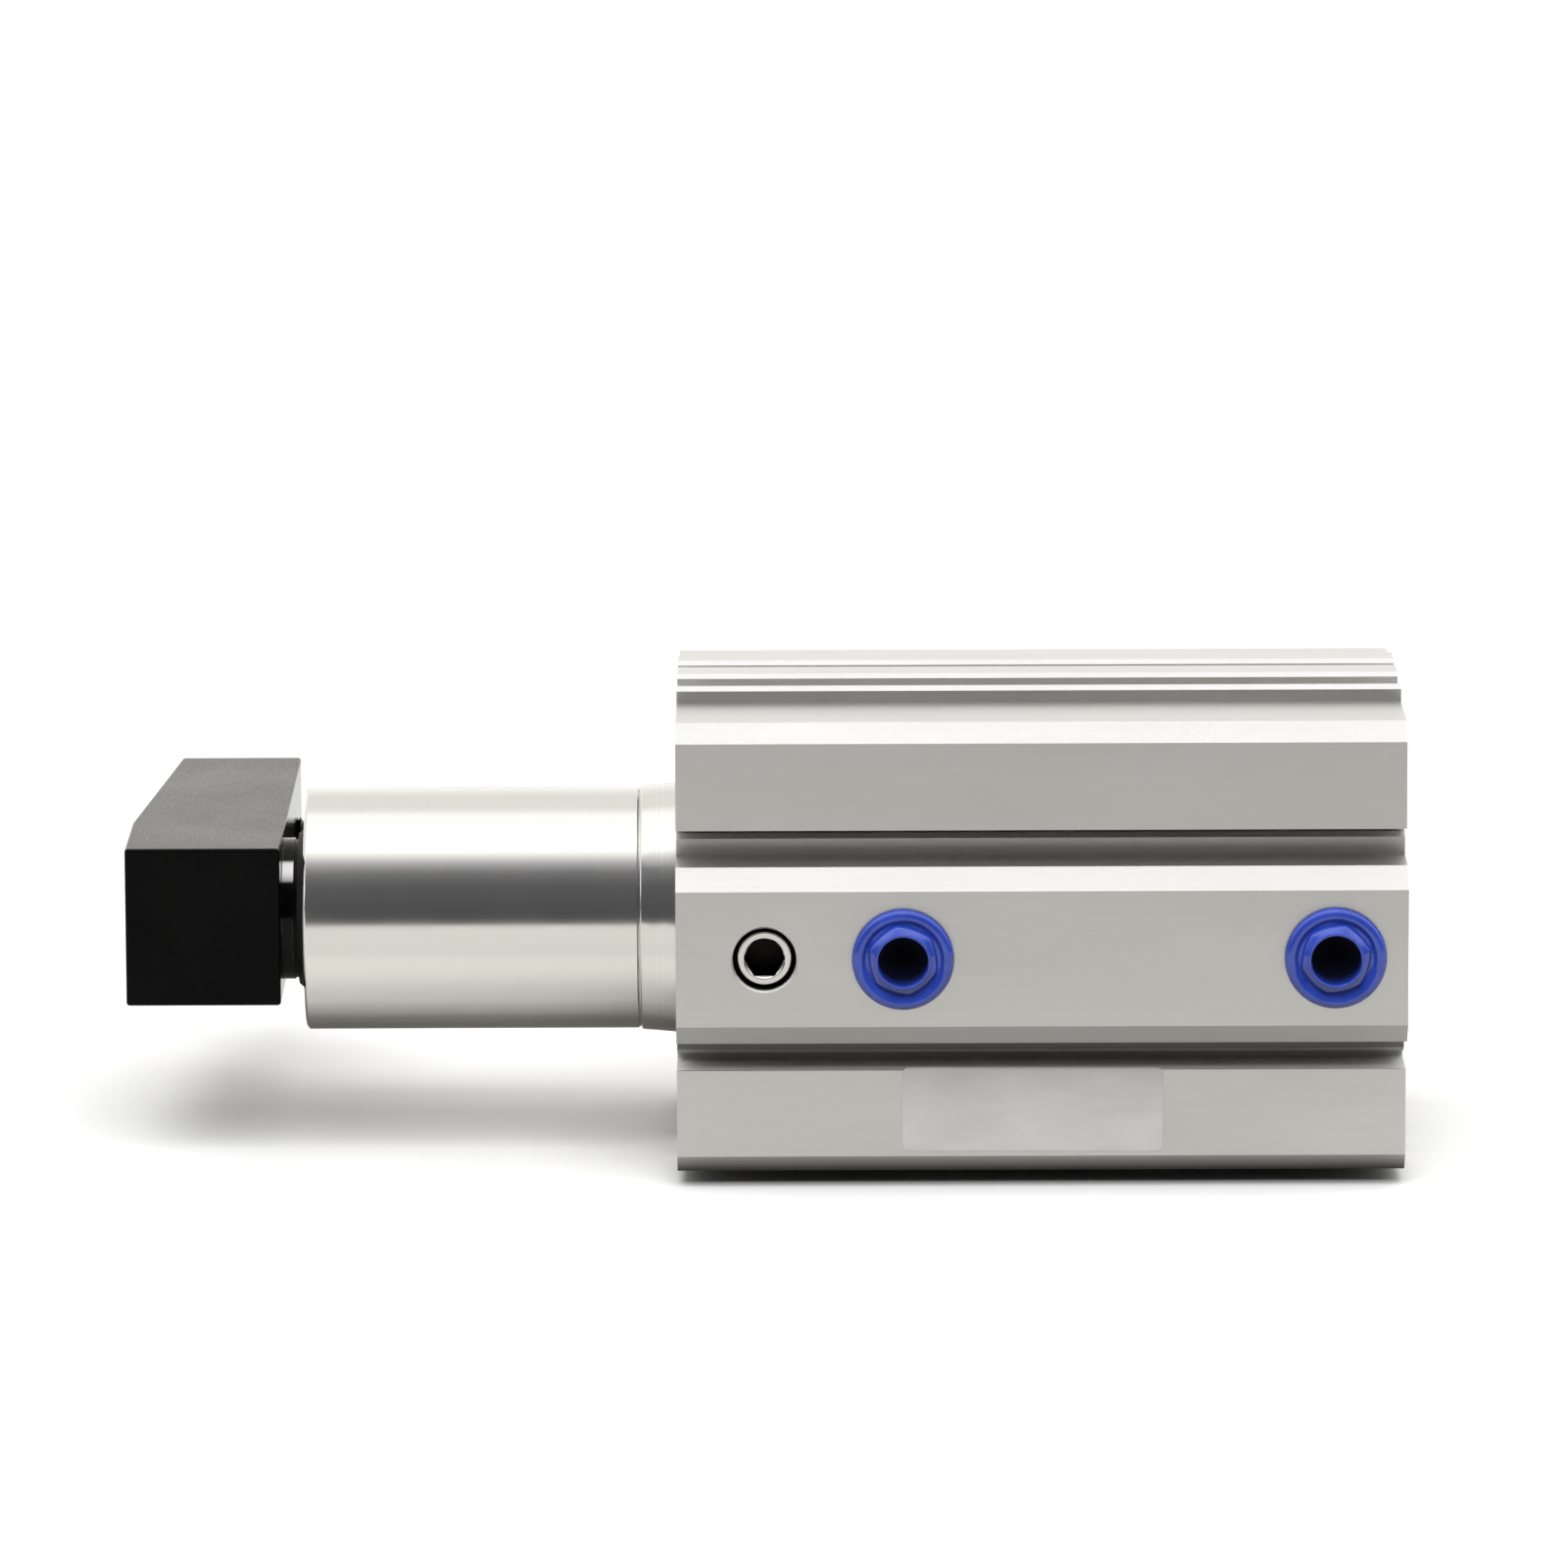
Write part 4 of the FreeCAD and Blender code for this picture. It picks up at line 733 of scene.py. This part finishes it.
def add_clamp_screw():
    """The arm's hex screw with a rolled thread where it leaves the arm and a crowned head."""
    low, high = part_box("clamp_screw")
    length = (high.x - low.x) / MM
    head = length - CLAMP_HEAD
    arm = (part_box("clamp_arm")[1].x - low.x) / MM - BOSS_HEIGHT
    outer, inner = CLAMP_THREAD_OUTER, CLAMP_THREAD_INNER
    washer, crown_start = CLAMP_FLATS * 0.47, CLAMP_FLATS * 0.48

    def thread(height, fade):
        def ring(angle):
            phase = (height / CLAMP_PITCH - angle / (2 * math.pi)) % 1.0
            crest = min(1.0, max(0.0, (0.5 - abs(phase - 0.5)) * 2.6 - 0.2))
            return (inner + (outer - inner) * crest * fade, height)
        return ring

    def crown(angle):
        side = hexagon_radius(CLAMP_FLATS, angle)
        return (side, length - (side - crown_start) * 0.55)

    start, end = arm - CLAMP_PITCH, head - 0.35
    steps = round((end - start) / CLAMP_PITCH * CLAMP_STEPS_PER_PITCH)
    rings = [even_ring(0.4, 0.0), even_ring(3.2, 0.0), even_ring(outer, 0.75),
             even_ring(outer, start - 0.1)]
    for step in range(steps + 1):
        height = start + (end - start) * step / steps
        rings.append(thread(height, min(1.0, (end - height) / CLAMP_PITCH)))
    rings += [even_ring(inner, head), even_ring(washer, head), even_ring(washer, head + 0.25),
              lambda angle: (hexagon_radius(CLAMP_FLATS, angle) - 0.12, head + 0.25),
              lambda angle: (hexagon_radius(CLAMP_FLATS, angle), head + 0.37),
              crown, even_ring(crown_start, length), even_ring(0.4, length)]
    turn = Matrix.Rotation(math.pi / 2, 3, "Y")
    middle = (low + high) / 2
    mesh = turned(rings, CLAMP_STEPS, turn, Vector((low.x, middle.y, middle.z)))
    steel = finishes["black_steel"]
    made = piece("clamp_screw_threaded", mesh, "rod_and_arm", steel)
    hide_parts("clamp_screw")


def add_port_thread(node):
    """A port's female thread, seen when its plug is out: one helical ridge set into the wall."""
    low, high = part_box(node)
    middle = (low.x + high.x) / 2 / MM
    root = PORT_RADIUS + PORT_THREAD_SUNK
    steps = round(PORT_THREAD_TURNS * PORT_THREAD_STEPS)
    mesh = bmesh.new()
    rows = []
    for step in range(steps + 1):
        turn = 2 * math.pi * step / PORT_THREAD_STEPS
        fade = min(1.0, (step + 0.5) / PORT_THREAD_FADE, (steps - step + 0.5) / PORT_THREAD_FADE)
        crest = root - (root - PORT_THREAD_INNER) * fade
        depth = RIDGE_FACE + PORT_THREAD_START + PORT_THREAD_PITCH * step / PORT_THREAD_STEPS
        section = [(root, -PORT_THREAD_FOOT), (crest, -PORT_THREAD_CREST),
                   (crest, PORT_THREAD_CREST), (root, PORT_THREAD_FOOT)]
        row = []
        for radius, shift in section:
            across, up = middle + radius * math.cos(turn), radius * math.sin(turn)
            row.append(mesh.verts.new(Vector((across, depth + shift, up)) * MM))
        rows.append(row)
    close(mesh, rows)
    name = node.replace("plug", "thread")
    piece(name, mesh, "cylinder", finishes["body_aluminium"])


add_label()
add_plug("front_port_plug", "front_plug", -10.0)
add_plug("rear_port_plug", "rear_plug", 16.0)
add_clamp_screw()
add_port_thread("front_port_plug")
add_port_thread("rear_port_plug")


def make_floor():
    """A pale table, white to the camera; metal reflects its bands and a dim room in front of it."""
    low = cad_box[0].z
    corners = [(-TABLE_HALF, -TABLE_HALF, low), (TABLE_HALF, -TABLE_HALF, low),
               (TABLE_HALF, TABLE_HALF, low), (-TABLE_HALF, TABLE_HALF, low)]
    mesh = bpy.data.meshes.new("floor")
    mesh.from_pydata(corners, [], [(0, 1, 2, 3)])
    f = Finish("pale_table", Specular_IOR_Level=0.1)
    ray = f.node("ShaderNodeLightPath")
    ahead = f.along("Y")
    table = f.spread(ahead, 0.0, 1.0, -TABLE_FRONT - TABLE_FADE, -TABLE_FRONT + TABLE_FADE)
    paper = f.blend(f.spread(f.noise(3.0), 0.0, 1.0), (0.504, 0.497, 0.476), (0.53, 0.523, 0.504))
    # Painted light and painted shadow on the table, which only reflections see.
    for start, end, colour in TABLE_BANDS:
        paper = f.blend(f.between(ahead, start, end, BAND_FADE), paper, colour)
    back = f.spread(ahead, 0.0, 1.0, BACK_START * MM, BACK_END * MM)
    paper = f.blend(back, paper, (0.7, 0.7, 0.69))
    reflected = f.blend(table, (0.06, 0.06, 0.06), paper)
    around = f.blend(ray.outputs["Is Diffuse Ray"], reflected, (0.2, 0.196, 0.188))
    colour = f.blend(ray.outputs["Is Camera Ray"], around, (0.82, 0.82, 0.82))
    mesh.materials.append(f.finish(colour, 0.7))
    floor = add(bpy.data.objects.new("floor", mesh))


def make_world():
    """Soft studio: an overhead strip of light, a bright backdrop, a dim room behind the camera."""
    world = bpy.data.worlds.new("studio")
    bpy.context.scene.world = world
    world.use_nodes = True
    sky = Graph(world.node_tree)
    way = sky.node("ShaderNodeTexCoord").outputs["Generated"]
    front = sky.math("MULTIPLY", sky.part(way, "Y"), -1.0)
    elevation = sky.math("ARCTAN2", sky.part(way, "Z"), front)
    ramp = sky.node("ShaderNodeValToRGB")
    sky.join(sky.math("DIVIDE", elevation, math.pi), ramp.inputs[0])
    marks = ramp.color_ramp.elements
    while len(marks) < len(LIGHT_BY_ELEVATION):
        marks.new(0.5)
    for mark, (degrees, colour) in zip(marks, LIGHT_BY_ELEVATION):
        mark.position = degrees / 180.0
        mark.color = (*colour, 1.0)
    level = sky.vector_math("MULTIPLY", ramp.outputs[0], (LIGHT_LEVEL,) * 3)[0]
    seen = sky.node("ShaderNodeLightPath").outputs["Is Camera Ray"]
    background = sky.tree.nodes["Background"]
    sky.join(sky.blend(seen, level, (1.0, 1.0, 1.0)), background.inputs["Color"])


def make_fill():
    """A weak, broad fill from the camera's side."""
    lamp = bpy.data.lights.new("fill", "AREA")
    lamp.shape, lamp.size, lamp.size_y = "RECTANGLE", FILL_WIDTH, FILL_HEIGHT
    lamp.energy = FILL_WATTS
    fill = add(bpy.data.objects.new("fill", lamp))
    fill.location = FILL_PLACE
    fill.rotation_euler = (-FILL_PLACE).to_track_quat("-Z", "Y").to_euler()
    fill.visible_glossy = False
    fill.visible_camera = False


def make_camera():
    """The photograph's camera, from its fitted place and turns."""
    yaw, pitch, roll = (math.radians(a) for a in (CAMERA_YAW, CAMERA_PITCH, CAMERA_ROLL))
    ahead = Vector((math.sin(yaw) * math.cos(pitch),
                    math.cos(yaw) * math.cos(pitch),
                    math.sin(pitch)))
    level_right = Vector((math.cos(yaw), -math.sin(yaw), 0.0))
    level_up = level_right.cross(ahead)
    right = level_right * math.cos(roll) + level_up * math.sin(roll)
    up = level_up * math.cos(roll) - level_right * math.sin(roll)
    lens = bpy.data.cameras.new("photo_camera")
    lens.sensor_width = SENSOR_WIDTH
    lens.lens = FOCAL_PIXELS / IMAGE_PIXELS * SENSOR_WIDTH
    lens.clip_end = 50.0
    camera = add(bpy.data.objects.new("photo_camera", lens))
    turn = Matrix((right, up, -ahead)).transposed().to_4x4()
    camera.matrix_world = Matrix.Translation(CAMERA_PLACE) @ turn
    bpy.context.scene.camera = camera


make_floor()
make_world()
make_fill()
make_camera()
bpy.context.scene.view_settings.view_transform = "Standard"
